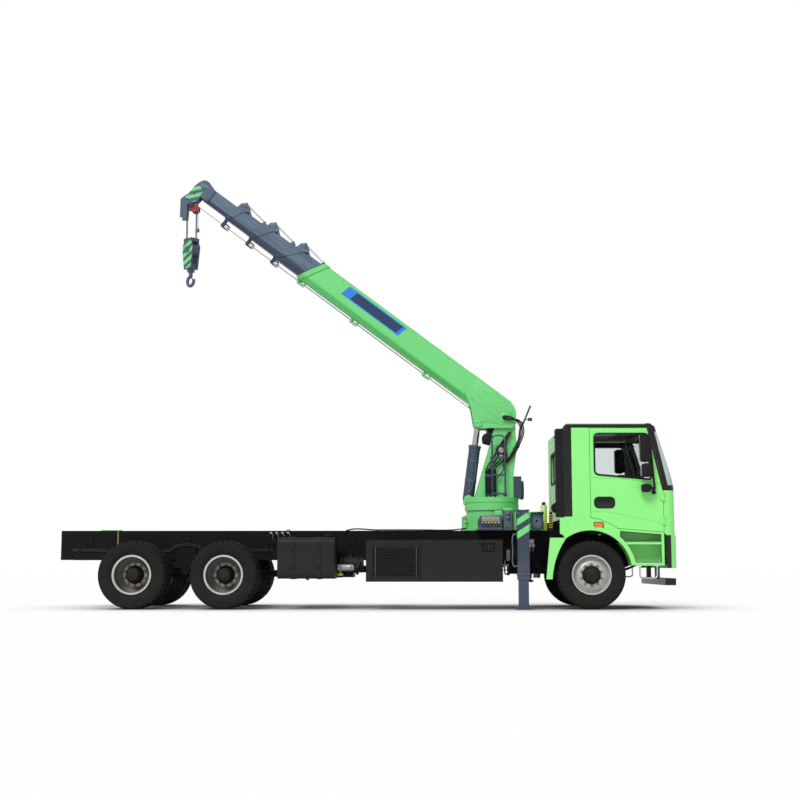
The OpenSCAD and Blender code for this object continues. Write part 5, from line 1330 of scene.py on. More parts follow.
def dress_mast():
    """Ear on the column, and the mast with its lamp."""
    bm = bmesh.new()
    panel(bm, rounded([Vector((x, -0.199, z)) for x, z in ((2.36, 2.540), (2.36, 2.660), (2.452, 2.650),
                                                           (2.500, 2.590), (2.490, 2.545))],
                      0.012), Vector((0, -0.016, 0)), 0.003)
    finish_piece("column_ear", bm, crane_green, "slew", smooth=False)
    bm = bmesh.new()
    pipe(bm, [(2.470, -0.228, 2.600), (2.490, -0.232, 2.740), (2.509, -0.234, 2.856),
              (2.564, -0.234, 2.964)], 0.019, 10)
    pipe(bm, [(2.558, -0.234, 2.950), (2.605, -0.234, 3.060), (2.673, -0.234, 3.222)], 0.015, 10)
    bar(bm, (2.470, -0.246, 2.600), (2.470, -0.213, 2.600), 0.028, 18)
    bar(bm, (2.580, -0.234, 2.995), (2.650, -0.234, 2.995), 0.008, 10)
    lathe(bm, [(0.0, 0.0), (0.0, 0.030), (0.012, 0.036), (0.044, 0.036), (0.050, 0.030), (0.050, 0.0)],
          (2.662, -0.234, 2.973), (0, 0, 1), 24)
    finish_piece("lamp_mast", bm, leg_slate, "slew")


def wind_winch():
    """Turns of rope on the winch drum."""
    bm = bmesh.new()
    for k in range(12):
        pipe(bm, around(WINCH + Vector((0, k * 0.0162 - 0.0861, 0)), 0.072, 16), 0.0078, 8, closed=True)
    finish_piece("winch_coil", bm, wire_rope, "winch")


def dress_cylinder():
    """Gland nut, hose ports, feed pipe and bands on the lift barrel."""
    foot, axis = LIFT_FOOT, (LIFT_EYE - LIFT_FOOT).normalized()
    bm = bmesh.new()
    lathe(bm, [(0.0, 0.099), (0.004, 0.104), (0.026, 0.104), (0.030, 0.098), (0.030, 0.060), (0.042, 0.057),
               (0.042, 0.0505)],
          foot + axis * 0.862, axis, 40)
    for at in (0.14, 0.80):
        port = foot + axis * at
        bar(bm, port + Vector((0, -0.086, 0)), port + Vector((0, -0.118, 0)), 0.020, 12)
        hex_head(bm, port + Vector((0, -0.118, 0)), (0, -1, 0), 0.014, 0.016)
    pipe(bm, [foot + axis * 0.14 + Vector((0, -0.112, 0)), foot + axis * 0.20 + Vector((0.03, -0.108, 0)),
              foot + axis * 0.74 + Vector((0.03, -0.106, 0)), foot + axis * 0.80 + Vector((0, -0.112, 0))],
              0.009, 8)
    for at in (0.30, 0.62):
        lathe(bm, [(0.0, 0.0925), (0.001, 0.097), (0.029, 0.097), (0.030, 0.0925)], foot + axis * at, axis,
              36)
    finish_piece("barrel_fittings", bm, slate_paint, "barrel")


def guide_loop(bm, u, side):
    """A bar loop beside a rope guide."""
    loop = ((u, GUIDE_FOOT), (u, GUIDE_FOOT + 0.070), (u - 0.095, GUIDE_FOOT + 0.070),
            (u - 0.095, GUIDE_FOOT))
    pipe(bm, rounded(boom_line(loop, side * 0.049), 0.012, 4), 0.007, 8, smooth=False, closed=True)


def dress_root():
    """Root plates, pressed line, pin caps, side bolts and rope guide loops on the main boom."""
    pressing = ((0.640, 0.070), (0.542, 0.145), (0.321, 0.205), (0.133, 0.215), (0.105, 0.150),
                (0.203, 0.049), (0.333, -0.012))
    root = ((-0.060, 0.170), (0.060, 0.236), (0.740, 0.250), (0.660, 0.020), (0.520, -0.130),
            (0.300, -0.300), (0.130, -0.190), (-0.060, -0.110))
    bm = bmesh.new()
    for side in (1, -1):
        out = BOOM_OUT * side
        panel(bm, rounded(boom_line(root, side * 0.204), 0.06, 5), out * 0.009, 0.006)
        pipe(bm, boom_line(((0.050, -0.062), (0.360, -0.062), (0.640, -0.064)), side * 0.209), 0.011, 8)
        pipe(bm, rounded(boom_line(pressing, side * 0.211), 0.04, 5), 0.006, 8, smooth=False, closed=True)
        for at, r in ((PIVOT, 0.074), (LIFT_EYE, 0.062)):
            at = at + Vector((0, -side * 0.2125, 0))
            lathe(bm, [(0.0, r), (0.008, r), (0.012, r - 0.006), (0.012, r * 0.45), (0.007, r * 0.40),
                       (0.007, 0.0)], at, (0, -side, 0), 32)
            for bolt in around(at + Vector((0, -side * 0.012, 0)), r * 0.7, 3, start=0.25):
                hex_head(bm, bolt, (0, -side, 0), 0.009, 0.009)
        for u in (1.30, 2.05, 3.45):
            for v in (-0.085, 0.235):
                hex_head(bm, in_boom(u, side * 0.170, v), out, 0.010, 0.007)
        for u in (4.055, 2.959, 1.472):
            guide_loop(bm, u, side)
    finish_piece("boom_root_plates", bm, crane_green, "boom_main")


def dress_sections():
    """Rope along each section, and the collars' bolts, rollers, rope lugs and guide loops."""
    for i, (width, depth, end, rake) in enumerate(SECTIONS):
        body = "boom_main" if i == 0 else "boom_%d" % (i + 1)
        top = BOOM_AXIS + depth / 2
        rope = bmesh.new()
        off = (i - 2) * 0.0155
        back = 0.310 if i == 0 else end - 3.90
        bar(rope, in_boom(back, off, ROPE_V), in_boom(min(end, HEAD_U - 0.01), off, ROPE_V), 0.0065, 10)
        if i in (1, 2, 3):
            neck = end - rake
            for side in (1, -1):
                across = side * width * 0.30
                bend = [in_boom(neck + u, across, top + w) for u, w in
                        ((-0.085, 0.117), (-0.058, 0.099), (-0.056, 0.076), (-0.045, 0.004))]
                bar(rope, bend[0], in_boom(neck - 0.515, across, top + 0.052), 0.005, 8)
                pipe(rope, bend, 0.005, 8)
        finish_piece("rope_" + body, rope, wire_rope, body)
        if i in (1, 2, 3):
            bm = bmesh.new()
            neck = end - rake
            half = width / 2 + 0.014
            for side in (1, -1):
                out = BOOM_OUT * side
                for u, v in ((neck - 0.055, top + 0.020), (neck - 0.120, top - 0.010),
                             (neck + rake * 0.35 - 0.03, top - depth * 0.32),
                             (end - rake * 0.35 - 0.06, BOOM_AXIS - depth * 0.22),
                             (end - 0.075, BOOM_AXIS - depth / 2 + 0.05)):
                    hex_head(bm, in_boom(u, side * half, v), out, 0.010, 0.009)
                lathe(bm, [(-0.006, 0.044), (0.010, 0.044), (0.013, 0.040), (0.013, 0.020), (0.020, 0.018),
                           (0.020, 0.0)],
                      in_boom(neck - 0.095, side * half, top + 0.082), out, 24)
                panel(bm, boom_line(((neck - 0.545, top - 0.002), (neck - 0.528, top + 0.062),
                                     (neck - 0.506, top + 0.062), (neck - 0.470, top - 0.002)),
                                    side * (width * 0.30 + 0.009)), out * -0.018, 0.003)
                guide_loop(bm, end - 0.055, side)
            for u in (-0.050, 0.030, 0.050):
                lathe(bm, [(-0.010, 0.036), (-0.008, 0.042), (0.008, 0.042), (0.010, 0.036)],
                      in_boom(neck - 0.095, u * 1.6, top + 0.082), BOOM_OUT, 24)
            finish_piece("collar_fittings_%d" % (i + 1), bm, boom_slate, body)


def dress_head():
    """Bolts, pin caps and edge pipes on the boom head, and its sheaves."""
    bm = bmesh.new()
    for side in (1, -1):
        out = BOOM_OUT * side
        for u, v in ((-0.085, -0.010), (-0.085, 0.150), (0.060, 0.060), (0.150, -0.060), (0.190, -0.205),
                     (0.105, -0.445)):
            hex_head(bm, in_boom(HEAD_U + u, side * 0.114, v), out, 0.011, 0.009)
        for u, v, r in ((0.105, 0.125, 0.046), (0.090, -0.230, 0.040)):
            lathe(bm, [(0.0, r), (0.010, r), (0.014, r - 0.006), (0.014, r * 0.4), (0.010, r * 0.35),
                       (0.010, 0.0)],
                  in_boom(HEAD_U + u, side * 0.1142, v), out, 28)
        for v in (0.18, 0.10):
            pipe(bm, boom_line(((HEAD_U - 0.10, v), (HEAD_U + 0.02, v + 0.03), (HEAD_U + 0.10, v + 0.03)),
                               side * 0.116), 0.006, 6)
    finish_piece("head_fittings", bm, boom_slate, "boom_5")
    bm = bmesh.new()
    for side in (1, -1):
        lathe(bm, [(-0.008, 0.0), (-0.008, 0.026), (-0.003, 0.030), (-0.003, 0.054), (-0.008, 0.059),
                   (-0.009, 0.070), (0.0, 0.062), (0.009, 0.070), (0.008, 0.059), (0.003, 0.054),
                   (0.003, 0.030), (0.008, 0.026), (0.008, 0.0)],
              in_boom(HEAD_U + 0.010, side * 0.0815, -0.245), BOOM_OUT, 36)
    finish_piece("head_sheaves", bm, sheave_red, "boom_5")


def dress_hook():
    """Sheave ropes, limit weight, cheek pins and bolts, swivel nut and hook latch."""
    bm = bmesh.new()
    for y in (-0.045, 0.045):
        pipe(bm, [HOOK + Vector((0.0885 * math.cos(a), y, 0.0885 * math.sin(a))) for a in
                  (math.pi * t / 10 for t in range(11))], 0.008, 8)
        for x in (-0.078, 0.078):
            lathe(bm, [(0.0, 0.009), (0.004, 0.013), (0.050, 0.013), (0.060, 0.008)],
                  HOOK + Vector((x, y, -0.575)), (0, 0, 1), 14)
    pipe(bm, [(-2.787, -0.075, 6.56), (-2.787, -0.075, 6.40), (-2.787, -0.075, 6.235)], 0.004, 6)
    finish_piece("hook_ropes", bm, wire_rope, "hook")
    bm = bmesh.new()
    lathe(bm, [(0.0, 0.0), (0.0, 0.014), (0.008, 0.021), (0.052, 0.021), (0.066, 0.012), (0.078, 0.008),
               (0.078, 0.0)],
          (-2.787, -0.075, 6.150), (0, 0, 1), 24)
    finish_piece("limit_weight", bm, sheave_red, "hook")
    bm = bmesh.new()
    turn = Matrix.Rotation(math.radians(-40), 4, "Z")
    top = HOOK.z - 0.575
    seat = Matrix.Translation((HOOK.x, 0, 0)) @ turn
    face = turn.to_3x3() @ Vector((0, 1, 0))
    for side in (1, -1):
        out = face * side
        lathe(bm, [(0.0, 0.050), (0.010, 0.050), (0.014, 0.044), (0.014, 0.018), (0.008, 0.015),
                   (0.008, 0.0)],
              seat @ Vector((0, side * 0.0995, top - 0.190)), out, 28)
        for x, z in ((-0.05, 0.030), (0.05, 0.030), (-0.06, 0.490), (0.06, 0.490)):
            hex_head(bm, seat @ Vector((x, side * 0.084, top - z)), out, 0.010, 0.009)
    base = Vector((HOOK.x, 0, top - 0.520))
    lathe(bm, [(0.0, 0.058), (-0.012, 0.062), (-0.040, 0.062), (-0.052, 0.052), (-0.060, 0.036)], base,
          (0, 0, 1), 32)
    ring = Matrix.Translation((HOOK.x, 0, top - 0.720)) @ turn
    bar(bm, ring @ Vector((-0.006, 0, 0.082)), ring @ Vector((0.052, 0, 0.024)), 0.009, 10)
    bar(bm, ring @ Vector((0.0, -0.020, 0.080)), ring @ Vector((0.0, 0.020, 0.080)), 0.011, 14)
    finish_piece("hook_fittings", bm, slate_paint, "hook")


def dress_outrigger(side, sign):
    """Carrying loop, cap, collar bolts and grease points on the jack box; foot gussets on the leg."""
    x, y = BEAM_X[sign], sign * LEG_Y
    bm = bmesh.new()
    loop = x - 0.090
    pipe(bm, [(loop + 0.004, y, 1.128), (loop - 0.050, y, 1.135), (loop - 0.066, y, 1.100),
              (loop - 0.068, y, 0.890), (loop - 0.066, y, 0.690), (loop - 0.050, y, 0.652),
              (loop + 0.004, y, 0.660)], 0.012, 10)
    slab(bm, (x - 0.098, y - 0.098, 1.496), (x + 0.098, y + 0.098, 1.506), 0.003)
    for dx in (-0.075, 0.075):
        for dy in (-0.075, 0.075):
            hex_head(bm, (x + dx, y + dy, 1.506), (0, 0, 1), 0.010, 0.010)
    for dx in (-0.070, 0.0, 0.070):
        hex_head(bm, (x + dx, y + sign * 0.096, 0.531), (0, sign, 0), 0.010, 0.009)
        hex_head(bm, (x + dx, y + sign * 0.090, 1.455), (0, sign, 0), 0.009, 0.008)
    finish_piece("jack_fittings_" + side, bm, slate_paint, "beam_" + side)
    bm = bmesh.new()
    low = 0.033 + (0.380 if sign > 0 else 0.0)
    for dx in (-1, 1):
        fin = [Vector((x + dx * 0.074, y - 0.006, low - 0.002)),
               Vector((x + dx * 0.110, y - 0.006, low - 0.002)),
               Vector((x + dx * 0.110, y - 0.006, low + 0.004)),
               Vector((x + dx * 0.074, y - 0.006, low + 0.034))]
        panel(bm, fin, (0, 0.012, 0))
    for dx in (-0.095, 0.095):
        for dy in (-0.070, 0.070):
            hex_head(bm, (x + dx, y + dy, low), (0, 0, 1), 0.009, 0.009)
    finish_piece("foot_fittings_" + side, bm, slate_paint, "leg_" + side, smooth=False)


dress_base()
dress_console()
dress_turntable()
dress_winch()
dress_column()
dress_hoses()
dress_valves()
dress_cooler()
dress_mast()
wind_winch()
dress_cylinder()
dress_root()
dress_sections()
dress_head()
dress_hook()
for side, sign in SIDES:
    dress_outrigger(side, sign)


# Chassis

def dress_rails():
    """Bolts, clamp plates, brake pipes and clips along both rails."""
    bm = bmesh.new()
    for sign in (1, -1):
        out = Vector((0, sign, 0))
        for i in range(22):
            x = -4.62 + i * 0.335
            if -2.99 < x < -2.62 or (sign < 0 and abs(x + 3.903) < 0.03):
                continue
            for z in (0.815, 0.965):
                hex_head(bm, (x, sign * RAIL, z), out, 0.012, 0.010)
        for x in (-4.36, -2.805, -1.45, -0.18, 2.27):
            side_slab(bm, sign, (x - 0.070, x + 0.070), (RAIL - 0.001, RAIL + 0.010), (0.985, 1.150), 0.003)
            for dx in (-0.045, 0.045):
                for z in (1.008, 1.060, 1.125):
                    hex_head(bm, (x + dx, sign * (RAIL + 0.010), z), out, 0.012, 0.010)
        for x in (-4.50, -4.05, -3.60, -2.40, -1.90, -1.50):
            side_slab(bm, sign, (x - 0.012, x + 0.012), (RAIL, RAIL + 0.024), (0.880, 0.930), 0.003)
    finish_piece("rail_fittings", bm, frame_black, smooth=False)
    bm = bmesh.new()
    for sign in (1, -1):
        for z in (0.893, 0.917):
            y = sign * (RAIL + 0.012)
            pipe(bm, [(-4.62, y, z), (-3.05, y, z), (-2.98, y, z + 0.055), (-2.63, y, z + 0.055),
                      (-2.56, y, z), (-1.44, y, z)], 0.007, 8)
        for x in REAR_X:
            y = sign * 0.30
            pipe(bm, [(x + 0.20, sign * 0.36, AXLE_Z + 0.10), (x + 0.30, y, AXLE_Z + 0.20),
                      (x + 0.28, y, 0.70), (x + 0.25, sign * 0.37, 0.76)], 0.011, 8)
    finish_piece("brake_pipes", bm, hose_rubber)


def dress_deck():
    """Pads and strap on the deck, and the unions of the pipes on the rail."""
    bm = bmesh.new()
    slab(bm, (-4.178, -0.425, DECK - 0.001), (-3.859, -0.345, DECK + 0.014), 0.003)
    slab(bm, (-1.236, -0.425, DECK - 0.001), (-1.173, -0.345, DECK + 0.020), 0.003)
    finish_piece("deck_pads", bm, crane_green, smooth=False)
    bm = bmesh.new()
    slab(bm, (-3.914, -0.434, 0.986), (-3.892, -0.429, 1.207), 0.0015, 1)
    slab(bm, (-3.914, -0.434, 1.203), (-3.892, -0.360, 1.213), 0.0015, 1)
    finish_piece("deck_strap", bm, nut_brass, smooth=False)
    bm = bmesh.new()
    for x in (-1.470, -1.380, -1.290, -1.200):
        bar(bm, (x, -0.428, 1.175), (x, -0.462, 1.175), 0.017, 12)
        hex_head(bm, (x, -0.462, 1.175), (0, -1, 0), 0.015, 0.018)
        pipe(bm, [(x, -0.470, 1.175), (x + 0.02, -0.478, 1.160), (x + 0.03, -0.470, 1.100),
                  (x + 0.04, -0.445, 1.060)], 0.006, 8)
    for x in (2.575, 2.620, 2.665):
        bar(bm, (x, -0.428, 0.975), (x, -0.500, 0.975), 0.016, 12)
        hex_head(bm, (x, -0.500, 0.975), (0, -1, 0), 0.021, 0.024)
        bar(bm, (x, -0.470, 0.960), (x, -0.470, 0.885), 0.009, 10)
        hex_head(bm, (x, -0.470, 0.900), (0, 0, -1), 0.014, 0.022)
    slab(bm, (2.555, -0.462, 1.000), (2.685, -0.429, 1.075), 0.006)
    finish_piece("line_fittings", bm, bright_steel, smooth=False)


def dress_tank():
    """Filler cap, strap tightener bolts, end seams and drain plug of the fuel tank."""
    bm = bmesh.new()
    lathe(bm, [(-0.004, 0.062), (0.012, 0.062), (0.016, 0.050), (0.024, 0.050), (0.026, 0.060),
               (0.058, 0.060), (0.064, 0.052), (0.064, 0.0)],
          (-0.545, -0.900, 1.086), (0, 0, 1), 32)
    ribs_around(bm, (-0.545, -0.900, 1.086), 12, (-0.005, 0.058, 0.030), (0.005, 0.064, 0.054), 0.0015)
    bar(bm, (-0.85, -0.87, 0.464), (-0.85, -0.87, 0.440), 0.026, 6)
    bar(bm, (-0.72, -0.87, 1.086), (-0.72, -0.87, 1.100), 0.045, 24)
    for x in (-1.059, -0.655):
        for z in (0.640, 0.900):
            slab(bm, (x - 0.020, -1.210, z - 0.016), (x + 0.020, -1.199, z + 0.016), 0.003)
            hex_head(bm, (x, -1.210, z), (0, -1, 0), 0.010, 0.008)
    finish_piece("tank_fittings", bm, moulded_black)
    bm = bmesh.new()
    ring = rounded([Vector((0, y, z)) for y, z in ((-1.186, 0.469), (-1.186, 1.081), (-0.566, 1.081),
                                                   (-0.566, 0.469))], 0.088, 8)
    for x in (-1.268, -0.436):
        pipe(bm, [p + Vector((x, 0, 0)) for p in ring], 0.008, 8, smooth=False, closed=True)
    finish_piece("tank_seams", bm, cover_black)


def dress_cover():
    """Wire grille, bright strips, seams, lock and edge bolts on the long side cover."""
    face = -1.200
    bm = bmesh.new()
    frame_strip(bm, [Vector((x, face, z)) for x, z in ((0.141, 0.480), (0.141, 0.950), (0.892, 0.950),
                                                       (0.892, 0.480))], 0.022, Vector((0, -0.006, 0)))
    for i in range(31):
        x = 0.170 + i * 0.0232
        bar(bm, (x, face - 0.003, 0.490), (x, face - 0.003, 0.940), 0.0022, 6)
    for i in range(18):
        z = 0.508 + i * 0.0245
        bar(bm, (0.150, face - 0.0055, z), (0.884, face - 0.0055, z), 0.0022, 6)
    for x in (0.905, 1.780):
        slab(bm, (x - 0.003, face - 0.002, 0.424), (x + 0.003, face + 0.001, 1.046), 0.001, 1)
    for i in range(9):
        x = 0.095 + i * 0.2515
        for z in (0.440, 1.030):
            hex_head(bm, (x, face, z), (0, -1, 0), 0.009, 0.007)
    for z in (0.60, 0.75, 0.90):
        for x in (0.086, 2.120):
            hex_head(bm, (x, face, z), (0, -1, 0), 0.009, 0.007)
    slab(bm, (1.850, -1.186, 0.885), (2.010, -1.169, 0.985), 0.006)
    slab(bm, (1.880, -1.202, 0.926), (1.980, -1.194, 0.944), 0.003)
    finish_piece("cover_grille", bm, moulded_black, smooth=False)
    bm = bmesh.new()
    for x in (0.206, 0.830):
        bar(bm, (x, face - 0.007, 0.486), (x, face - 0.007, 0.944), 0.0022, 8)
    bar(bm, (1.930, -1.184, 0.935), (1.930, -1.196, 0.935), 0.012, 18)
    finish_piece("cover_bright", bm, bright_steel, smooth=False)


def dress_side_gear():
    """Dryer canister, drain valve, filter and tee beside the outrigger, with bands on the air tank."""
    bm = bmesh.new()
    centre = Vector((-0.404, -0.800, 0.633))
    lathe(bm, [(0.0, 0.0), (0.0, 0.040), (0.010, 0.052), (0.060, 0.054), (0.064, 0.058), (0.078, 0.058),
               (0.082, 0.054), (0.205, 0.054), (0.209, 0.058), (0.223, 0.058), (0.227, 0.050),
               (0.262, 0.046), (0.277, 0.030), (0.277, 0.0)], centre, (1, 0, 0), 32)
    for x in (-0.355, -0.175):
        slab(bm, (x - 0.012, -0.790, 0.640), (x + 0.012, -0.700, 0.664), 0.003)
    lathe(bm, [(0.0, 0.0), (0.0, 0.024), (0.008, 0.034), (0.140, 0.034), (0.144, 0.038), (0.176, 0.038),
               (0.180, 0.026), (0.182, 0.0)],
          (2.247, -0.800, 0.732), (0, 0, 1), 28)
    ribs_around(bm, (2.247, -0.800, 0.732), 10, (-0.003, 0.033, 0.020), (0.003, 0.036, 0.125), 0.001)
    bar(bm, (2.196, -0.800, 0.590), (2.196, -0.800, 0.745), 0.014, 14)
    bar(bm, (2.156, -0.800, 0.665), (2.236, -0.800, 0.665), 0.014, 14)
    for at, axis in (((2.196, -0.800, 0.600), (0, 0, -1)), ((2.160, -0.800, 0.665), (-1, 0, 0)),
                     ((2.232, -0.800, 0.665), (1, 0, 0))):
        hex_head(bm, at, axis, 0.020, 0.020)
    finish_piece("air_dryer", bm, bright_steel)
    bm = bmesh.new()
    slab(bm, (2.190, -0.840, 0.905), (2.300, -0.429, 0.926), 0.004)
    slab(bm, (2.185, -0.815, 0.740), (2.207, -0.785, 0.910), 0.003)
    for x in (-0.325, -0.075):
        lathe(bm, [(0.0, 0.1105), (0.001, 0.1145), (0.029, 0.1145), (0.030, 0.1105)], (x, -0.630, 0.690),
              (1, 0, 0), 40)
    slab(bm, (-0.320, -0.600, 0.560), (-0.060, -0.445, 0.740), 0.012)
    for x in (-0.28, -0.19, -0.10):
        bar(bm, (x, -0.52, 0.562), (x, -0.52, 0.520), 0.022, 14)
    finish_piece("gear_brackets", bm, frame_black)
    bm = bmesh.new()
    bar(bm, (-0.349, -0.800, 0.582), (-0.349, -0.800, 0.540), 0.012, 14)
    slab(bm, (-0.390, -0.818, 0.508), (-0.308, -0.782, 0.544), 0.008)
    finish_piece("drain_valve", bm, knob_yellow)
    bm = bmesh.new()
    pipe(bm, [(-0.127, -0.800, 0.633), (-0.085, -0.800, 0.640), (-0.060, -0.780, 0.690),
              (-0.055, -0.720, 0.740), (-0.060, -0.640, 0.795)], 0.011, 8)
    pipe(bm, [(2.196, -0.800, 0.582), (2.200, -0.780, 0.545), (2.240, -0.700, 0.530), (2.300, -0.560, 0.560),
              (2.330, -0.440, 0.800)], 0.011, 8)
    pipe(bm, [(2.285, -0.800, 0.890), (2.320, -0.780, 0.870), (2.330, -0.700, 0.840), (2.330, -0.560, 0.860),
              (2.300, -0.440, 0.900)], 0.012, 8)
    finish_piece("gear_hoses", bm, hose_rubber)


def dress_axles():
    """Spring bolts, leaf clips, brake chambers and dampers, seen from below."""
    bm = bmesh.new()
    for sign in (1, -1):
        for x in REAR_X:
            for dx in (-0.055, 0.055):
                pipe(bm, [(x + dx, sign * y, z) for y, z in ((0.474, 0.520), (0.474, 0.715), (0.478, 0.735),
                                                             (0.525, 0.738), (0.572, 0.735),
                                                              (0.576, 0.715), (0.576, 0.520))], 0.0105, 8)
                for y in (0.474, 0.576):
                    hex_head(bm, (x + dx, sign * y, 0.532), (0, 0, -1), 0.018, 0.020)
            side_slab(bm, sign, (x - 0.075, x + 0.075), (0.462, 0.588), (0.532, 0.552), 0.004)
        for dx in (-0.080, 0.080):
            x = FRONT_X + dx
            pipe(bm, [(x, sign * y, z) for y, z in ((0.341, 0.360), (0.341, 0.535), (0.345, 0.556),
                                                    (0.390, 0.559), (0.435, 0.556), (0.439, 0.535),
                                                    (0.439, 0.360))], 0.0105, 8)
        for x in (FRONT_X - 0.45, FRONT_X + 0.45):
            z = 0.462 + 0.197 * (0.45 / 0.8) ** 2
            side_slab(bm, sign, (x - 0.020, x + 0.020), (0.346, 0.434), (z - 0.008, z + 0.060), 0.003)
        top, foot = Vector((3.715, sign * 0.458, 0.930)), Vector((3.570, sign * 0.470, 0.455))
        run = (foot - top).normalized()
        bar(bm, top - Vector((0, sign * 0.030, 0)), top + Vector((0, sign * 0.030, 0)), 0.028, 18)
        bar(bm, foot - Vector((0, sign * 0.030, 0)), foot + Vector((0, sign * 0.030, 0)), 0.026, 18)
        lathe(bm, [(0.0, 0.0), (0.0, 0.038), (0.260, 0.038), (0.262, 0.014), (0.265, 0.014)], top, run, 24)
        lathe(bm, [(0.240, 0.030), (0.495, 0.030), (0.497, 0.0)], top, run, 24)
        for x in REAR_X:
            at = Vector((x + 0.090, sign * 0.355, AXLE_Z + 0.040))
            lathe(bm, [(0.0, 0.0), (0.0, 0.052), (0.010, 0.066), (0.052, 0.070), (0.054, 0.078),
                       (0.070, 0.078), (0.072, 0.070), (0.120, 0.064), (0.136, 0.040), (0.138, 0.0)], at,
                       (1, 0, 0.12), 28)
            side_slab(bm, sign, (x + 0.040, x + 0.100), (0.320, 0.390), (AXLE_Z - 0.010, AXLE_Z + 0.085),
                      0.006)
    finish_piece("axle_fittings", bm, frame_black)


def dress_drive():
    """Shaft flanges, gearbox rings, engine ribs and cans, seen from below."""
    bm = bmesh.new()
    gear_x, shaft_z = 2.295, RAIL_Z - 0.030
    for x, z, r in ((gear_x - 0.062, shaft_z, 0.085), (REAR_X[0] + 0.392, AXLE_Z, 0.085)):
        lathe(bm, [(-0.014, 0.050), (-0.014, r), (0.014, r), (0.014, 0.050)], (x, 0, z), (1, 0, 0), 32)
        for at in around((x - 0.014, 0, z), 0.070, 8, "X"):
            hex_head(bm, at, (-1, 0, 0), 0.008, 0.008)
    for x in (gear_x + 0.010, gear_x + 0.250, 2.900):
        lathe(bm, [(-0.012, 0.180), (-0.012, 0.214), (0.012, 0.214), (0.012, 0.180)], (x, 0, shaft_z),
              (1, 0, 0), 40)
        for at in around((x - 0.012, 0, shaft_z), 0.203, 14, "X", 0.5):
            hex_head(bm, at, (-1, 0, 0), 0.008, 0.008)
    for i in range(9):
        x = 3.10 + i * 0.10
        for sign in (1, -1):
            side_slab(bm, sign, (x, x + 0.045), (0.299, 0.312), (0.670, 1.120), 0.004)
            hex_head(bm, (x + 0.022, sign * 0.163, 0.592), (0, 0, -1), 0.009, 0.008)
    for x, y, z in ((3.92, 0.330, 0.900), (3.45, -0.330, 0.860)):
        lathe(bm, [(-0.09, 0.0), (-0.09, 0.045), (-0.07, 0.062), (0.05, 0.062), (0.06, 0.040), (0.08, 0.040),
                   (0.09, 0.034), (0.09, 0.0)],
              (x, y, z), (1, 0, 0), 24)
    lathe(bm, [(0.0, 0.0), (0.0, 0.030), (0.012, 0.034), (0.018, 0.0)], (3.60, 0.0, 0.594), (0, 0, -1), 6)
    finish_piece("drive_fittings", bm, cover_black)


def close_beam(side, sign):
    """Plate across the inner end of an outrigger beam, with its lifting hole ring and bolts."""
    x, end = BEAM_X[sign], -sign * 1.000
    low, high = sorted((end, end + sign * 0.014))
    bm = bmesh.new()
    slab(bm, (x - 0.080, low, 1.2345), (x + 0.080, high, 1.4535), 0.003)
    lathe(bm, [(-0.004, 0.034), (0.004, 0.036), (0.006, 0.030), (0.006, 0.018), (0.0, 0.016), (0.0, 0.0)],
          (x, end, 1.344), (0, -sign, 0), 24)
    for dx in (-0.058, 0.058):
        for z in (1.262, 1.426):
            hex_head(bm, (x + dx, end, z), (0, -sign, 0), 0.010, 0.008)
    finish_piece("beam_plate_" + side, bm, slate_paint, "beam_" + side)
    bm = bmesh.new()
    corners = [Vector((x + dx, -sign * 1.060, z)) for dx,
               z in ((-0.106, 1.211), (-0.106, 1.483), (0.106, 1.483), (0.106, 1.211))]
    frame_strip(bm, corners, 0.011, Vector((0, -sign * 0.008, 0)))
    finish_piece("tube_rim_" + side, bm, leg_slate, smooth=False)


dress_rails()
dress_deck()
dress_tank()
dress_cover()
dress_side_gear()
dress_axles()
dress_drive()
for side, sign in SIDES:
    close_beam(side, sign)


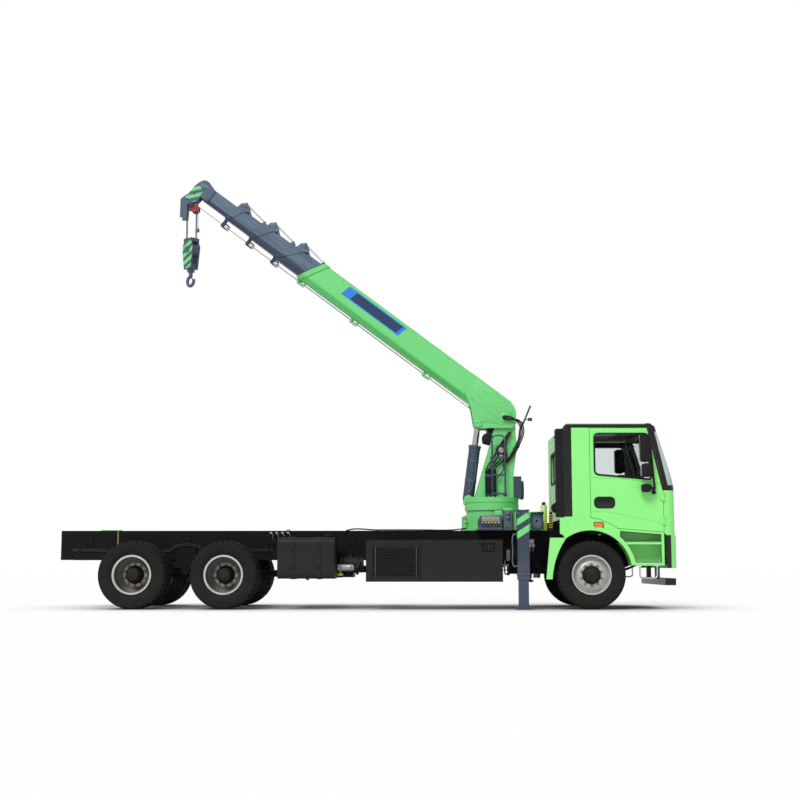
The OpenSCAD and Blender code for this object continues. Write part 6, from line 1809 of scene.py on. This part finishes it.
def dress_left_gear():
    """Straps, caps, lid, latches, end rings and pipes on the left-hand tank, battery box and silencer."""
    bm = bmesh.new()
    ring = rounded([Vector((0, y, z)) for y, z in ((0.548, 0.468), (0.548, 1.077), (1.202, 1.077),
                                                   (1.202, 0.468))], 0.062, 6)
    for x in (-1.059, -0.485):
        for dx in (0.0, 0.026, 0.052):
            pipe(bm, [p + Vector((x + dx, 0, 0)) for p in ring], 0.006, 6, smooth=False, closed=True)
        for z in (0.640, 0.900):
            hex_head(bm, (x + 0.026, 1.207, z), (0, 1, 0), 0.012, 0.008)
    lathe(bm, [(-0.004, 0.070), (0.014, 0.070), (0.018, 0.056), (0.050, 0.056), (0.056, 0.048),
               (0.056, 0.0)], (-0.78, 0.88, 1.074), (0, 0, 1), 32)
    lathe(bm, [(-0.004, 0.090), (0.010, 0.090), (0.014, 0.080), (0.070, 0.074), (0.084, 0.050),
               (0.084, 0.0)], (-0.38, 0.88, 1.074), (0, 0, 1), 32)
    bar(bm, (-0.75, 0.88, 0.472), (-0.75, 0.88, 0.446), 0.026, 6)
    slab(bm, (0.052, 0.545, 0.990), (0.874, 1.208, 1.044), 0.014, 3)
    for x in (0.22, 0.70):
        slab(bm, (x - 0.020, 1.198, 0.880), (x + 0.020, 1.209, 1.000), 0.004)
        bar(bm, (x, 1.204, 0.905), (x, 1.216, 0.905), 0.010, 14)
    for z in (0.620, 0.700, 0.780):
        slab(bm, (0.140, 1.197, z), (0.786, 1.207, z + 0.026), 0.005)
    for x in (1.205, 1.500, 1.820, 2.118):
        lathe(bm, [(-0.014, 0.249), (-0.012, 0.257), (0.012, 0.257), (0.014, 0.249)], (x, 0.92, 0.72),
              (1, 0, 0), 48)
    for x, way in ((1.193, -1), (2.144, 1)):
        lathe(bm, [(0.0, 0.235), (0.010 * way, 0.215), (0.012 * way, 0.120), (0.008 * way, 0.100),
                   (0.008 * way, 0.0)], (x, 0.92, 0.72), (1, 0, 0), 40)
    pipe(bm, [(1.20, 0.80, 0.66), (1.10, 0.80, 0.66), (1.02, 0.84, 0.62), (1.00, 0.95, 0.58),
              (1.00, 1.12, 0.57)], 0.045, 16)
    pipe(bm, [(2.14, 0.80, 0.80), (2.24, 0.79, 0.80), (2.32, 0.70, 0.80), (2.36, 0.50, 0.80),
              (2.40, 0.43, 0.80)], 0.040, 16)
    finish_piece("left_gear_fittings", bm, moulded_black)


def dress_roof():
    """Pressed ribs and a closed hatch on the cab roof."""
    bm = bmesh.new()
    for y in (-0.80, -0.48, 0.48, 0.80):
        pipe(bm, [(3.20, y, CAB_TOP - 0.006), (3.60, y, CAB_TOP - 0.002), (4.34, y, CAB_TOP - 0.008)], 0.012,
             8)
    slab(bm, (3.52, -0.30, CAB_TOP - 0.002), (4.12, 0.30, CAB_TOP + 0.016), 0.012, 3)
    slab(bm, (3.56, -0.26, CAB_TOP + 0.012), (4.08, 0.26, CAB_TOP + 0.022), 0.008, 3)
    finish_piece("roof_hatch", bm, cab_green)


def dress_post():
    """Yellow spare line wound on the post beside the coolant bottle."""
    bm = bmesh.new()
    turns = [Vector((2.960 + 0.033 * math.cos(t * 0.7), -0.388 + 0.033 * math.sin(t * 0.7),
                     1.235 + t * 0.0042)) for t in range(58)]
    pipe(bm, turns, 0.0075, 8)
    finish_piece("post_line", bm, knob_yellow)


dress_left_gear()
dress_roof()
dress_post()
